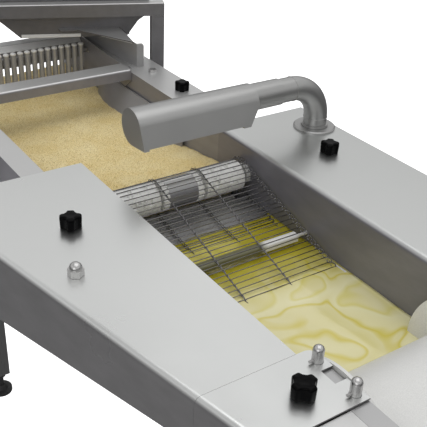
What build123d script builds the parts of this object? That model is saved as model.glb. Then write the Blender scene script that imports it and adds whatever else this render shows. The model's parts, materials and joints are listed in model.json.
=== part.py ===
"""Batter breading machine: a free-standing conveyor line that coats patties.

The product enters at +X, is dipped in a batter tank, climbs a wire belt that turns over a white drum,
passes under an air knife and runs on through a bed of crumbs towards -X.
-Y is the operator's side. Z is up and the floor is at zero. Sizes are millimetres.
"""
from build123d import *
import math
import os

# Overall heights
COVER_Z = 900.0            # top face of the covers above the floor
FLANGE_DROP = 4.0          # the crumb trough's flange lies this far under the cover's top
SHEET = 2.0                # sheet steel
GAP = 0.3                  # clearance between neighbours that are not fastened face to face

# Length of the line, from the discharge end to the infeed end
DISCHARGE_X = -612.0
SECTION_X = 0.0            # back edge of the near cover
FAR_BACK_X = -11.0         # back edge of the far cover
TANK_END_X = 640.0
DECK_LONG = 58.0           # strip of deck left open beyond the end cover
END_COVER_LONG = 86.4
END_COVER_X = TANK_END_X - DECK_LONG
SEAM_X = END_COVER_X - END_COVER_LONG   # seam between the near cover and the end cover

# Width of the trough and of what stands beside it
HALF_WIDTH = 125.0
NEAR_WIDE = 180.0          # the crumb trough is wider on the operator's side
FLANGE_WIDTH = 67.4
NEAR_FLANGE_WIDTH = 35.0
FAR_COVER_WIDTH = 171.0
NEAR_EDGE_Y = -353.8       # outer edge of the near cover at its back end
NEAR_EDGE_SLOPE = 0.2142   # the outer edge comes in by this much per millimetre
SKIRT_BACK = 118.7         # depth of the near skirt at its back end
SKIRT_RISE = 0.1135        # and how fast it gets shorter
FOLD_R = 8.0
SPLASH_DEPTH = 112.0
LIP = 22.0

# Crumb trough
TROUGH_DEPTH = 172.0
TANK_LIP_X = 86.0
TANK_LIP_DROP = 82.0
CRUMB_ROLLER_R = 22.0
CRUMB_ROLLER_DROP = 126.0
CRUMB_BELT_THICK = 3.0
CRUMB_BELT_HALF = 122.0
CRUMB_DRIVE_X = -585.0
CRUMB_TAIL_X = 40.0
CRUMB_SHAFT_R = 8.0
# Top of the crumb bed along the trough, X and depth under the covers
CRUMB_TOP = ((-598, 98), (-580, 84), (-430, 82), (-300, 79), (-124, 76), (-60, 69), (-9, 62), (20, 61), (36.5, 63))

# Batter tank floor: lip, bottom of the slope, end
TANK_SLOPE_END_X = 320.0
TANK_FLOOR_DROP = 127.0
APRON_LONG = 160.0         # from the tank's end wall to the foot of the white apron
APRON_HALF = 100.0
APRON_THICK = 8.0
CHEEK_R = 90.0
CHEEK_THICK = 4.0
DRAIN_X = TANK_END_X - 170
DRAIN_Y = 52.0             # between the long rails, so that a hose comes on from below
DRAIN_R = 14.0
DRAIN_BORE = 12.0
LEVER_LONG = 60.0
BATTER_DROP = 91.0         # level of the batter under the covers

# Wire belt, drum and nose roller
DRUM_X = 64.0
DRUM_DROP = 50.0
BELT_R = 24.8              # middle of the wire round the drum
NOSE_X = 303.0
NOSE_R = 6.5
BELT_SLOPE_DEG = 16.0
WIRE = 1.6
STRAND_PITCH = 9.17
BELT_HALF = 112.5
BELT_COLUMN = 37.5
HOOK_OUT = 3.6
HOOK_LONG = 8.1           # a hook all but reaches the next strand
RUN_GAP = 0.2
DRUM_R = BELT_R - WIRE / 2 - RUN_GAP
DRUM_HALF = 109.4
SECTION_IN = 41.0
RING_IN = 25.0
RING_OUT = 35.0
RING_TEETH = 17
TOOTH_DEEP = 3.2
SHAFT_R = 10.0
RUN_FIT = 0.05

# Air knife
PIPE_X = 64.0
PIPE_Y = 262.2
PIPE_R = 19.0
PIPE_WALL = 1.5
PIPE_RISE = 76.0
ELBOW_R = 57.0
SLEEVE_R = 20.5
SLEEVE_END_Y = 179.0
NOZZLE_NEAR_Y = -77.0
NOZZLE_FAR_Y = 125.0
TUBE_END_Y = NOZZLE_FAR_Y - 10
NOZZLE_R = 27.0
NOZZLE_TIP_X = 38.0        # the blowing edge, seen from the nozzle's middle
NOZZLE_TIP_Z = -23.0
NOZZLE_DROP = 5.0
RING_R = 34.0
RING_THICK = 4.0

# Press and comb unit over the crumb bed
BAR_FRONT_X = -303.0
BAR_BACK_X = -345.0
BAR_TOP = 2.0
BAR_DEEP = 19.3
REAR_FRONT_X = -521.0
REAR_BACK_X = -545.0
SIDE_TOP_FRONT = 0.4
SIDE_TOP_BACK = 7.0
SIDE_DEEP = 55.0
DEFLECTOR_TOP = 38.0
DEFLECTOR_LOW = 96.0
DEFLECTOR_ENDS = (-430.0, -110.0)
DEFLECTOR_BULGE = 34.0
COMB_X = -480.0
COMB_ROD_R = 5.6
COMB_PITCH = 14.3
COMB_LAST_Y = 105.5
COMB_RODS = int((NEAR_WIDE - 8 + COMB_LAST_Y) // COMB_PITCH) + 1
COMB_TOP = 3.0
COMB_LONG = 66.0
GUARD_FRONT = 46.0
GUARD_BACK = 10.0

# Hopper stand: sizes along the arm are measured from the post
POST_X = -375.0
POST_Y = 222.0
TUBE = 25.0
TUBE_WALL = 2.0
ARM_BOTTOM = 76.0
ARM_LONG = 330.0
ARM_TURN_DEG = -21.6
PIVOT_R = 9.0
HOPPER_HIGH = 60.0         # from the arm's underside to the hopper's rim
HOPPER_WIDE = 190.0
HOPPER_ENDS = (13.0, 308.0)
HOPPER_STEPS = ((34.0, 54.1, 263.0, 76.0), (60.0, 35.0, 296.0, 161.0), (69.0, 22.0, 308.0, 190.0))
HOPPER_SKIRT = 30.0        # lower edge of the hopper's front wall above the covers
TRAY_DROP = 29.5           # the drip tray hangs this far under the arm
TRAY_PLAN = ((77.5, 55.7), (34.6, 62.8), (-15, 73.6), (-15, 190), (-1.4, 186.2), (-6.6, 154.5))
GATE_EDGE = 2.0            # the gate is wider than the outlet by this at its sides
GATE_PULL = 54.0

# Frame
LEG = 40.0
LEG_WALL = 2.5
LEG_NEAR_X = DISCHARGE_X + 32
LEG_FAR_X = TANK_END_X - 80
LEG_Y = 108.0
FOOT_HIGH = 60.0
FOOT_R = 27.0
FOOT_STUD_R = 8.0
LOW_RAIL_Z = 380.0

# Knobs and fasteners
KNOB_R = 16.0
KNOB_HIGH = 18.0
SMALL_KNOB_R = 13.0
SMALL_KNOB_HIGH = 16.0
KNOB_STUD_R = 3.0
NEAR_SHELF_DROP = 6.0      # the housings' shelves that the knobs hold the covers to
FAR_SHELF_DROP = 4.0
PIN_R = 6.2
PIN_HIGH = 20.0
NEAR_KNOB = (156.2, -214.1)
BIG_KNOB = (SEAM_X + 49.5, -156.9)
FAR_KNOB = (149.9, 219.9)
FLANGE_KNOB = (-183.2, 161.9)
FLANGE_BOLT = (-289.7, 162.7)
CAP_NUT = (255.5, -254.5)
PIN_XS = (SEAM_X + 18.8, END_COVER_X - 11.7)
PIN_Y = -113.0
NOTCH = (SEAM_X + 32.4, SEAM_X + 53.9)   # gap in the end cover's inner strip
SLIDE_X = 222.0
BEARING_R = 16.0

NODES = {}


def block(x0, x1, y0, y1, z0, z1):
    """A box between two corners."""
    return Pos((x0 + x1) / 2, (y0 + y1) / 2, (z0 + z1) / 2) * Box(x1 - x0, y1 - y0, z1 - z0)


def bar_x(x0, x1, y, z, radius):
    return Pos((x0 + x1) / 2, y, z) * Rot(0, 90, 0) * Cylinder(radius, x1 - x0)


def bar_y(x, y0, y1, z, radius):
    return Pos(x, (y0 + y1) / 2, z) * Rot(90, 0, 0) * Cylinder(radius, y1 - y0)


def bar_z(x, y, z0, z1, radius):
    return Pos(x, y, (z0 + z1) / 2) * Cylinder(radius, z1 - z0)


def plate_y(points, y0, y1):
    """An outline in the XZ plane, drawn out from y0 to y1."""
    outline = make_face(Polyline(*[(x, y0, z) for x, z in points], close=True))
    return extrude(outline, amount=y1 - y0, dir=(0, 1, 0))


def plate_z(points, z0, z1):
    """An outline in plan, drawn up from z0 to z1."""
    outline = make_face(Polyline(*[(x, y, z0) for x, y in points], close=True))
    return extrude(outline, amount=z1 - z0, dir=(0, 0, 1))


def plate_x(points, x0, x1):
    """An outline in the YZ plane, drawn out from x0 to x1."""
    outline = make_face(Polyline(*[(x0, y, z) for y, z in points], close=True))
    return extrude(outline, amount=x1 - x0, dir=(1, 0, 0))


def near_edge(x):
    """Outer edge of the near cover at x."""
    return NEAR_EDGE_Y + NEAR_EDGE_SLOPE * x


def skirt_z(x):
    """Lower edge of the near cover's skirt at x."""
    return COVER_Z - SKIRT_BACK + SKIRT_RISE * x


def group(*shapes):
    """Several separate solids as one node."""
    return Compound([solid for shape in shapes for solid in shape.solids()])


def square_tube(x0, x1, y0, y1, z0, z1, wall, along, end_wall=0):
    """A hollow square tube along one axis, with welded end plates if they have a thickness."""
    outside = block(x0, x1, y0, y1, z0, z1)
    grow = {"x": (end_wall, wall, wall), "y": (wall, end_wall, wall), "z": (wall, wall, end_wall)}[along]
    inside = block(x0 + grow[0], x1 - grow[0], y0 + grow[1], y1 - grow[1], z0 + grow[2], z1 - grow[2])
    return outside - inside


# Frame


def make_frame():
    top = COVER_Z - TROUGH_DEPTH
    rail_bottom = top - LEG
    legs = []
    for x in (LEG_NEAR_X, LEG_FAR_X):
        for y in (-LEG_Y, LEG_Y):
            tube = square_tube(x - LEG / 2, x + LEG / 2, y - LEG / 2, y + LEG / 2, FOOT_HIGH, rail_bottom,
                               LEG_WALL, "z")
            plug = block(x - LEG / 2, x + LEG / 2, y - LEG / 2, y + LEG / 2, FOOT_HIGH, FOOT_HIGH + LEG_WALL * 4)
            legs.append(tube + plug - bar_z(x, y, FOOT_HIGH - 1, FOOT_HIGH + LEG_WALL * 5, FOOT_STUD_R + GAP))
    ends = (LEG_NEAR_X - LEG / 2, LEG_FAR_X + LEG / 2)
    rails = [square_tube(ends[0], ends[1], side * LEG_Y - LEG / 2, side * LEG_Y + LEG / 2, rail_bottom, top,
                         LEG_WALL, "x", LEG_WALL) for side in (-1, 1)]
    inner = LEG_Y - LEG / 2
    rails += [square_tube(x - LEG / 2, x + LEG / 2, -inner, inner, rail_bottom, top, LEG_WALL, "y")
              for x in (LEG_NEAR_X, SECTION_X, LEG_FAR_X)]
    NODES["top_rails"] = group(*rails)
    low = []
    for x in (LEG_NEAR_X, LEG_FAR_X):
        low.append(square_tube(x - LEG / 2, x + LEG / 2, -inner, inner, LOW_RAIL_Z, LOW_RAIL_Z + LEG, LEG_WALL, "y"))
    low.append(square_tube(LEG_NEAR_X + LEG / 2, LEG_FAR_X - LEG / 2, -LEG / 2, LEG / 2, LOW_RAIL_Z,
                           LOW_RAIL_Z + LEG, LEG_WALL, "x"))
    NODES["frame_legs"] = group(*legs, *low)
    spots = [(x, y) for x in (LEG_NEAR_X, LEG_FAR_X) for y in (-LEG_Y, LEG_Y)]
    for number, (x, y) in enumerate(spots, start=1):
        pad = Pos(x, y, 0) * extrude(Circle(FOOT_R), amount=8)
        cone = Pos(x, y, 8) * extrude(Circle(FOOT_R * 0.6), amount=12, taper=30)
        stud = bar_z(x, y, 8, FOOT_HIGH + LEG_WALL * 4, FOOT_STUD_R)
        nut = Pos(x, y, FOOT_HIGH - 14 - GAP) * extrude(RegularPolygon(14, 6), amount=14)
        NODES[f"levelling_foot_{number}"] = pad + cone + stud + nut


# Crumb trough


def make_crumb_trough():
    top = COVER_Z - FLANGE_DROP
    floor = COVER_Z - TROUGH_DEPTH
    wide = HALF_WIDTH + SHEET + GAP
    back = FAR_BACK_X - SHEET
    far = block(DISCHARGE_X, FAR_BACK_X, HALF_WIDTH, HALF_WIDTH + SHEET, floor, top)
    far += block(DISCHARGE_X, back, HALF_WIDTH, HALF_WIDTH + FLANGE_WIDTH, top - SHEET, top)
    rim = HALF_WIDTH + FLANGE_WIDTH
    far += block(DISCHARGE_X, back, rim - SHEET, rim, top - 16, top)
    far += block(back, FAR_BACK_X, HALF_WIDTH, wide + SHEET, floor, top - LIP)
    far += block(back, TANK_LIP_X, wide, wide + SHEET, floor, COVER_Z - FOLD_R)
    near_back = SECTION_X - SHEET - 1
    near = block(DISCHARGE_X, near_back, -NEAR_WIDE - SHEET, -NEAR_WIDE, floor, top)
    near += block(DISCHARGE_X, near_back, -NEAR_WIDE - NEAR_FLANGE_WIDTH, -NEAR_WIDE, top - SHEET, top)
    near += block(near_back - SHEET, near_back, -NEAR_WIDE - SHEET, -wide, floor, top)
    near += block(near_back - SHEET, TANK_LIP_X, -wide - SHEET, -wide, floor, top - SHEET)
    near += block(DISCHARGE_X, near_back, -NEAR_WIDE, -CRUMB_BELT_HALF - 2.5, floor + 71, floor + 73)
    bottom = block(DISCHARGE_X, near_back, -NEAR_WIDE - SHEET, HALF_WIDTH + SHEET, floor, floor + SHEET)
    bottom += block(near_back - SHEET, TANK_LIP_X, -wide - SHEET, wide + SHEET, floor, floor + SHEET)
    end = block(TANK_LIP_X - SHEET, TANK_LIP_X, -wide, wide, floor, COVER_Z - TANK_LIP_DROP)
    trough = far + near + bottom + end
    drum_z = COVER_Z - DRUM_DROP
    trough -= bar_y(DRUM_X, -wide - 3, -wide + 1, drum_z, SHAFT_R + 1)
    trough -= bar_z(FLANGE_KNOB[0], FLANGE_KNOB[1], top - 5, top + 5, KNOB_STUD_R + 0.1)
    roller_z = COVER_Z - CRUMB_ROLLER_DROP
    for x in (CRUMB_DRIVE_X, CRUMB_TAIL_X):
        trough -= bar_y(x, -NEAR_WIDE - 4, wide + 4, roller_z, CRUMB_SHAFT_R + RUN_FIT)
    NODES["crumb_trough"] = trough

    deflectors = []
    high = COVER_Z - DEFLECTOR_TOP
    low = COVER_Z - DEFLECTOR_LOW
    x0, x1 = DEFLECTOR_ENDS
    middle = (x0 + x1) / 2
    for side, wall in ((1, HALF_WIDTH - GAP * 2 - SHEET), (-1, NEAR_WIDE - GAP * 2 - SHEET)):
        upper = Polyline((x0, side * wall, high), (x1, side * wall, high), (x1, side * (wall - SHEET), high),
                         (x0, side * (wall - SHEET), high), close=True)
        ends = wall - 5
        bulge = wall - DEFLECTOR_BULGE
        outer = ThreePointArc((x0, side * ends, low), (middle, side * bulge, low), (x1, side * ends, low))
        inner = ThreePointArc((x1, side * (ends - SHEET), low), (middle, side * (bulge - SHEET), low),
                              (x0, side * (ends - SHEET), low))
        lower = make_face([outer, Line(outer @ 1, inner @ 0), inner, Line(inner @ 1, outer @ 0)])
        deflectors.append(loft([lower, make_face(upper)]))
    NODES["deflectors"] = group(*deflectors)

    belt_in = CRUMB_ROLLER_R + RUN_FIT
    belt_out = belt_in + CRUMB_BELT_THICK
    middle = (CRUMB_DRIVE_X + CRUMB_TAIL_X) / 2
    span = CRUMB_TAIL_X - CRUMB_DRIVE_X

    def loop(radius, half):
        ring = Pos(middle, 0, roller_z) * Rot(90, 0, 0) * extrude(SlotCenterToCenter(span, radius * 2),
                                                                 amount=half, both=True)
        return ring
    NODES["crumb_belt"] = loop(belt_out, CRUMB_BELT_HALF) - loop(belt_in, CRUMB_BELT_HALF + 1)
    core = CRUMB_BELT_HALF - 1
    NODES["crumb_drive_roller"] = bar_y(CRUMB_DRIVE_X, -core, core, roller_z, CRUMB_ROLLER_R) \
        + bar_y(CRUMB_DRIVE_X, -NEAR_WIDE - 60, HALF_WIDTH + SHEET, roller_z, CRUMB_SHAFT_R)
    NODES["crumb_tail_roller"] = bar_y(CRUMB_TAIL_X, -core, core, roller_z, CRUMB_ROLLER_R) \
        + bar_y(CRUMB_TAIL_X, -wide - SHEET, wide + SHEET, roller_z, CRUMB_SHAFT_R)
    bed_top = roller_z + CRUMB_ROLLER_R - GAP
    bed = block(CRUMB_DRIVE_X + 32, CRUMB_TAIL_X - 32, -core, core, bed_top - SHEET, bed_top)
    for x in (CRUMB_DRIVE_X + 60, CRUMB_TAIL_X - 60):
        bed += block(x - 10, x + 10, -CRUMB_BELT_HALF - 2, HALF_WIDTH, bed_top - 16, bed_top - SHEET)
    NODES["slider_bed"] = bed
    box_y = -NEAR_WIDE - SHEET
    gearbox = block(CRUMB_DRIVE_X - 32, CRUMB_DRIVE_X + 32, box_y - 56, box_y - GAP, roller_z - 36, roller_z + 36)
    gearbox -= bar_y(CRUMB_DRIVE_X, box_y - 60, box_y + 1, roller_z, CRUMB_SHAFT_R + RUN_FIT)
    motor_x = CRUMB_DRIVE_X + 32
    motor = bar_x(motor_x, motor_x + 130, box_y - 30, roller_z, 26)
    motor += block(motor_x + 30, motor_x + 90, box_y - 50, box_y - 10, roller_z + 20, roller_z + 42)
    NODES["crumb_gearmotor"] = gearbox + motor


# Covers and housings


def near_cover_shell(x0, x1, inner_y, lip_deep):
    """A top plate with a rounded fold and a skirt along the slanted outer edge."""
    top = COVER_Z
    deep = SKIRT_BACK + 10

    def prism(grow, up, fold, start, end, inside):
        shift = grow * math.hypot(1, NEAR_EDGE_SLOPE)
        outline = [(start, near_edge(start) + shift), (end, near_edge(end) + shift), (end, inside), (start, inside)]
        body = plate_z(outline, top - deep, top - up)
        edge = [e for e in body.edges().filter_by_position(Axis.Z, top - up - 0.01, top - up + 0.01)
                if (e @ 0.5).Y < (near_edge((e @ 0.5).X) + inside) / 2 - 5 and abs((e % 0.5).X) > 0.9]
        return fillet(edge, fold)
    shell = prism(0, 0, FOLD_R, x0, x1, inner_y)
    shell -= prism(SHEET, SHEET, FOLD_R - SHEET, x0 - 5, x1 + 5, inner_y - SHEET)
    shell -= block(x0 - 5, x1 + 5, inner_y - SHEET - 1, inner_y + 1, top - deep - 1, top - lip_deep)
    below = [(x0 - 5, skirt_z(x0 - 5)), (x1 + 5, skirt_z(x1 + 5)), (x1 + 5, top - deep - 2), (x0 - 5, top - deep - 2)]
    return shell - plate_y(below, NEAR_EDGE_Y - 10, inner_y - SHEET - 0.5)


def make_covers():
    near = near_cover_shell(SECTION_X, SEAM_X - GAP, -HALF_WIDTH, 12)
    near -= bar_z(NEAR_KNOB[0], NEAR_KNOB[1], COVER_Z - 5, COVER_Z + 5, KNOB_STUD_R + GAP)
    near -= bar_z(CAP_NUT[0], CAP_NUT[1], COVER_Z - 5, COVER_Z + 5, 5 + GAP)
    NODES["near_cover"] = near

    end = near_cover_shell(SEAM_X, END_COVER_X, -HALF_WIDTH, SHEET)
    strip_y = -HALF_WIDTH + 21
    tongue = block(SEAM_X, END_COVER_X, -HALF_WIDTH - 6, strip_y, COVER_Z - SHEET, COVER_Z)
    corner = tongue.edges().filter_by(Axis.Z).group_by(Axis.Y)[-1].sort_by(Axis.X)[0]
    tongue = fillet(corner, 12)
    end += tongue
    end -= block(NOTCH[0], NOTCH[1], -HALF_WIDTH + 5, strip_y + 1, COVER_Z - SHEET - 1, COVER_Z + 1)
    for x in PIN_XS:
        end -= bar_z(x, PIN_Y, COVER_Z - 5, COVER_Z + 5, PIN_R + GAP)
    end -= bar_z(BIG_KNOB[0], BIG_KNOB[1], COVER_Z - 5, COVER_Z + 5, KNOB_STUD_R + GAP)
    NODES["near_end_cover"] = end

    outer_y = HALF_WIDTH + FAR_COVER_WIDTH
    body = block(FAR_BACK_X, TANK_END_X, HALF_WIDTH, outer_y, COVER_Z - SPLASH_DEPTH, COVER_Z)
    edges = body.edges().filter_by(Axis.X).group_by(Axis.Z)[-1].sort_by(Axis.Y)
    body = fillet(edges[0], FOLD_R)
    inside = block(FAR_BACK_X - 5, TANK_END_X + 5, HALF_WIDTH + SHEET, outer_y - SHEET, COVER_Z - SPLASH_DEPTH - 5,
                   COVER_Z - SHEET)
    edges = inside.edges().filter_by(Axis.X).group_by(Axis.Z)[-1].sort_by(Axis.Y)
    inside = fillet(edges[0], FOLD_R - SHEET)
    cover = body - inside
    cover -= block(FAR_BACK_X - 5, TANK_END_X + 5, outer_y - SHEET - 1, outer_y + 1, COVER_Z - SPLASH_DEPTH - 5,
                   COVER_Z - LIP)
    cover += block(FAR_BACK_X, FAR_BACK_X + SHEET, HALF_WIDTH + SHEET + 3, outer_y - SHEET, COVER_Z - LIP,
                   COVER_Z - SHEET)
    under = [(TANK_LIP_X - 3, COVER_Z - TANK_LIP_DROP + 2), (TANK_SLOPE_END_X, COVER_Z - TANK_FLOOR_DROP + 2),
             (TANK_SLOPE_END_X, COVER_Z - 200), (TANK_LIP_X - 3, COVER_Z - 200)]
    cover -= plate_y(under, HALF_WIDTH - 1, HALF_WIDTH + SHEET + 1)
    cover -= block(TANK_END_X - 8 - SHEET - GAP, TANK_END_X + 1, HALF_WIDTH - 1, HALF_WIDTH + SHEET + 1,
                   COVER_Z - 200, COVER_Z - 24 + GAP)
    slot_r = BEARING_R + 1
    drum_z = COVER_Z - DRUM_DROP
    cover -= bar_y(DRUM_X, HALF_WIDTH - 1, HALF_WIDTH + SHEET + 1, drum_z, slot_r)
    cover -= block(DRUM_X - slot_r, DRUM_X + slot_r, HALF_WIDTH - 1, HALF_WIDTH + SHEET + 1,
                   COVER_Z - SPLASH_DEPTH - 5, drum_z)
    cover -= bar_z(PIPE_X, PIPE_Y, COVER_Z - 5, COVER_Z + 5, PIPE_R + GAP)
    cover -= bar_z(FAR_KNOB[0], FAR_KNOB[1], COVER_Z - 5, COVER_Z + 5, KNOB_STUD_R + GAP)
    NODES["far_cover"] = cover


def make_housings():
    wide = HALF_WIDTH + SHEET + GAP
    inner_y = wide + SHEET + GAP
    outer_y = HALF_WIDTH + FAR_COVER_WIDTH - SHEET - GAP
    low = COVER_Z - 230
    top = COVER_Z - FAR_SHELF_DROP
    far = block(FAR_BACK_X + SHEET + GAP, TANK_END_X - 1, inner_y, outer_y, low, top)
    far -= block(FAR_BACK_X + SHEET * 2 + GAP, TANK_END_X - 1 - SHEET, inner_y + SHEET, outer_y - SHEET,
                 low + SHEET, top + 1)
    far += block(FAR_KNOB[0] - 12, FAR_KNOB[0] + 12, inner_y + SHEET, FAR_KNOB[1] + 12, top - 10, top)
    far -= bar_z(FAR_KNOB[0], FAR_KNOB[1], top - 11, top + 1, KNOB_STUD_R + 0.1)
    far -= bar_x(FAR_BACK_X - 5, FAR_BACK_X + 12, PIPE_Y - 38, low + 100, 30)
    NODES["far_housing"] = far

    slack = (SHEET + 0.8) * math.hypot(1, NEAR_EDGE_SLOPE)
    x0 = SECTION_X + 1
    x1 = TANK_END_X - 1
    top = COVER_Z - NEAR_SHELF_DROP

    def prism(inset, floor_up, open_top):
        edge = slack + inset * math.hypot(1, NEAR_EDGE_SLOPE)
        a = x0 + inset
        b = x1 - inset
        outline = [(a, near_edge(a) + edge), (b, near_edge(b) + edge), (b, -inner_y - inset), (a, -inner_y - inset)]
        body = plate_z(outline, COVER_Z - SKIRT_BACK - 10, top + open_top)
        cut = [(a - 5, skirt_z(a - 5) + 3 + floor_up), (b + 5, skirt_z(b + 5) + 3 + floor_up),
               (b + 5, COVER_Z - 200), (a - 5, COVER_Z - 200)]
        return body - plate_y(cut, NEAR_EDGE_Y - 10, 0)
    near = prism(0, 0, 0) - prism(SHEET, SHEET, 5)
    for spot, radius in ((NEAR_KNOB, KNOB_STUD_R + 0.1), (BIG_KNOB, KNOB_STUD_R + 0.1), (CAP_NUT, 5)):
        shelf = block(spot[0] - 12, spot[0] + 12, near_edge(spot[0]) + 8, -inner_y - 1, top - 10, top)
        near += shelf
        near -= bar_z(spot[0], spot[1], top - 11, top + 1, radius)
    deck = block(END_COVER_X + 1, x1, near_edge(END_COVER_X) + 18, -inner_y, top - SHEET, COVER_Z - 3)
    near += deck
    drum_z = COVER_Z - DRUM_DROP
    near -= bar_y(DRUM_X, -inner_y - 4, -inner_y + 1, drum_z, SHAFT_R + 1)
    NODES["near_housing"] = near


# Batter tank


def make_tank():
    wide = HALF_WIDTH + SHEET + GAP
    lip_z = COVER_Z - TANK_LIP_DROP
    floor_z = COVER_Z - TANK_FLOOR_DROP
    end = TANK_END_X - 8
    top = COVER_Z - SHEET - 1
    start = TANK_LIP_X + GAP
    run = [(start, lip_z), (TANK_SLOPE_END_X, floor_z), (end, floor_z), (end, floor_z - SHEET),
           (TANK_SLOPE_END_X, floor_z - SHEET), (start, lip_z - SHEET)]
    tank = plate_y(run, -wide - SHEET, wide + SHEET)
    for y, side_top in ((-wide - SHEET, top), (wide, COVER_Z - FOLD_R)):
        side = [(start, lip_z - SHEET), (start, side_top), (end, side_top), (end, floor_z - SHEET),
                (TANK_SLOPE_END_X, floor_z - SHEET)]
        tank += plate_y(side, y, y + SHEET)
    tank += block(end - SHEET, end, -wide - SHEET, wide + SHEET, floor_z - SHEET, COVER_Z - 24)
    tank += block(PIN_XS[0] - 14, end, -wide - SHEET, -HALF_WIDTH + 20, COVER_Z - 7, COVER_Z - SHEET - 1 - GAP)
    tank -= bar_z(DRAIN_X, DRAIN_Y, floor_z - 5, floor_z + 5, DRAIN_BORE)
    NODES["batter_tank"] = tank
    valve_z = floor_z - 36
    spigot = bar_z(DRAIN_X, DRAIN_Y, floor_z - 70, floor_z - SHEET, DRAIN_R)
    spigot += bar_z(DRAIN_X, DRAIN_Y, valve_z - 10, valve_z + 10, DRAIN_R + 6)
    spigot -= bar_z(DRAIN_X, DRAIN_Y, floor_z - 71, floor_z, DRAIN_BORE)
    spigot -= bar_y(DRAIN_X, DRAIN_Y - 30, DRAIN_Y + 30, valve_z, 6 + RUN_FIT)
    NODES["drain_spigot"] = spigot
    lever = bar_y(DRAIN_X, DRAIN_Y - 30, DRAIN_Y + 19, valve_z, 6)
    lever += bar_y(DRAIN_X, DRAIN_Y - 38, DRAIN_Y - 30, valve_z, 9)
    lever += block(DRAIN_X - 6, DRAIN_X + LEVER_LONG, DRAIN_Y - 37, DRAIN_Y - 33, valve_z - 6, valve_z + 6)
    lever -= bar_x(DRAIN_X - 10, DRAIN_X + 10, DRAIN_Y, valve_z, 4)
    NODES["drain_valve"] = lever

    foot = end - APRON_LONG
    low = COVER_Z - 104
    crest = COVER_Z - 24
    edge = -APRON_HALF
    nose = ThreePointArc((foot, edge, low), (foot + 37, edge, COVER_Z - 48), (foot + 98, edge, crest))
    under = ThreePointArc((foot + 104, edge, crest - APRON_THICK), (foot + 44, edge, COVER_Z - 56),
                          (foot + APRON_THICK, edge, low))
    outline = make_face([nose, Polyline(nose @ 1, (end - SHEET, edge, crest),
                                        (end - SHEET, edge, crest - APRON_THICK), under @ 0), under,
                         Line(under @ 1, nose @ 0)])
    apron = extrude(outline, amount=APRON_HALF * 2, dir=(0, 1, 0))
    cheek_in = APRON_HALF - 0.6
    cheek_out = cheek_in + CHEEK_THICK
    for side in (-1, 1):
        y0, y1 = sorted((side * cheek_in, side * cheek_out))
        disc = bar_y(foot + 70, y0, y1, COVER_Z - 88, CHEEK_R)
        disc -= block(foot + 70 - CHEEK_R - 1, foot + 71 + CHEEK_R, y0 - 1, y1 + 1, COVER_Z - 90 - CHEEK_R, low)
        disc -= block(foot + 132, foot + 71 + CHEEK_R, y0 - 1, y1 + 1, low - 1, COVER_Z - 86 + CHEEK_R)
        apron += disc
        wall = HALF_WIDTH - GAP if side > 0 else wide
        apron += block(foot + 32, foot + 92, *sorted((side * cheek_out, side * wall)), low, low + 14)
    NODES["infeed_apron"] = apron


# Batter and crumbs


def make_batter():
    """The batter as one body that fills the tank up to its level, clear of all that stands in it."""
    level = COVER_Z - BATTER_DROP
    floor = COVER_Z - TANK_FLOOR_DROP + GAP
    end = TANK_END_X - 8 - SHEET - GAP
    start = TANK_LIP_X + (BATTER_DROP - TANK_LIP_DROP) * (TANK_SLOPE_END_X - TANK_LIP_X) \
        / (TANK_FLOOR_DROP - TANK_LIP_DROP) + 2
    near = -HALF_WIDTH - SHEET
    far = HALF_WIDTH - GAP
    pool = plate_y([(start, level), (TANK_SLOPE_END_X, floor), (end, floor), (end, level)], near, far)

    foot = TANK_END_X - 8 - APRON_LONG
    low = COVER_Z - 104 - GAP
    cheek_in = APRON_HALF - 0.6 - GAP
    cheek_out = APRON_HALF - 0.6 + CHEEK_THICK + GAP
    pool -= block(foot + 70 - CHEEK_R - GAP, end + 1, -cheek_out, cheek_out, low, level + 1)
    bay = [(foot + 70 - CHEEK_R - 1, low - 1), (foot - 1, low - 1), (foot + 3.4, level),
           (foot + 70 - CHEEK_R - 1, level)]
    pool += plate_y(bay, -cheek_in, cheek_in)
    pool -= block(foot + 32 - GAP, foot + 92 + GAP, near - 1, far + 1, low, level + 1)

    drum, nose, strands = belt_layout()
    wide = BELT_HALF + HOOK_OUT + WIRE + GAP * 2
    slack = WIRE / 2 + GAP * 2
    for run in ("carry", "return"):
        spots = [(x, z) for name, x, z, angle in strands if name == run]
        (xa, za), (xb, zb) = spots[0], spots[-1]
        long = math.hypot(xb - xa, zb - za)
        ux, uz = (xb - xa) / long, (zb - za) / long
        corners = []
        for x, z, along, side in ((xa, za, -HOOK_LONG - 2, 1), (xb, zb, HOOK_LONG + 2, 1),
                                  (xb, zb, HOOK_LONG + 2, -1), (xa, za, -HOOK_LONG - 2, -1)):
            corners.append((x + ux * along - uz * slack * side, z + uz * along + ux * slack * side))
        pool -= plate_y(corners, -wide, wide)
    pool -= bar_y(nose[0], -wide - 1, wide + 1, nose[1], math.hypot(NOSE_R + WIRE, HOOK_LONG) + GAP)
    pool -= block(nose[0] - 12 - GAP, nose[0] + 12 + GAP, wide, HALF_WIDTH + 3, floor - 3, level + 1)
    pool -= block(nose[0] - 12 - GAP, nose[0] + 12 + GAP, -HALF_WIDTH - 3, -wide, floor - 3, level + 1)
    solids = sorted(pool.solids(), key=lambda solid: solid.volume)
    NODES["batter_pool"] = solids[-1]


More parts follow.
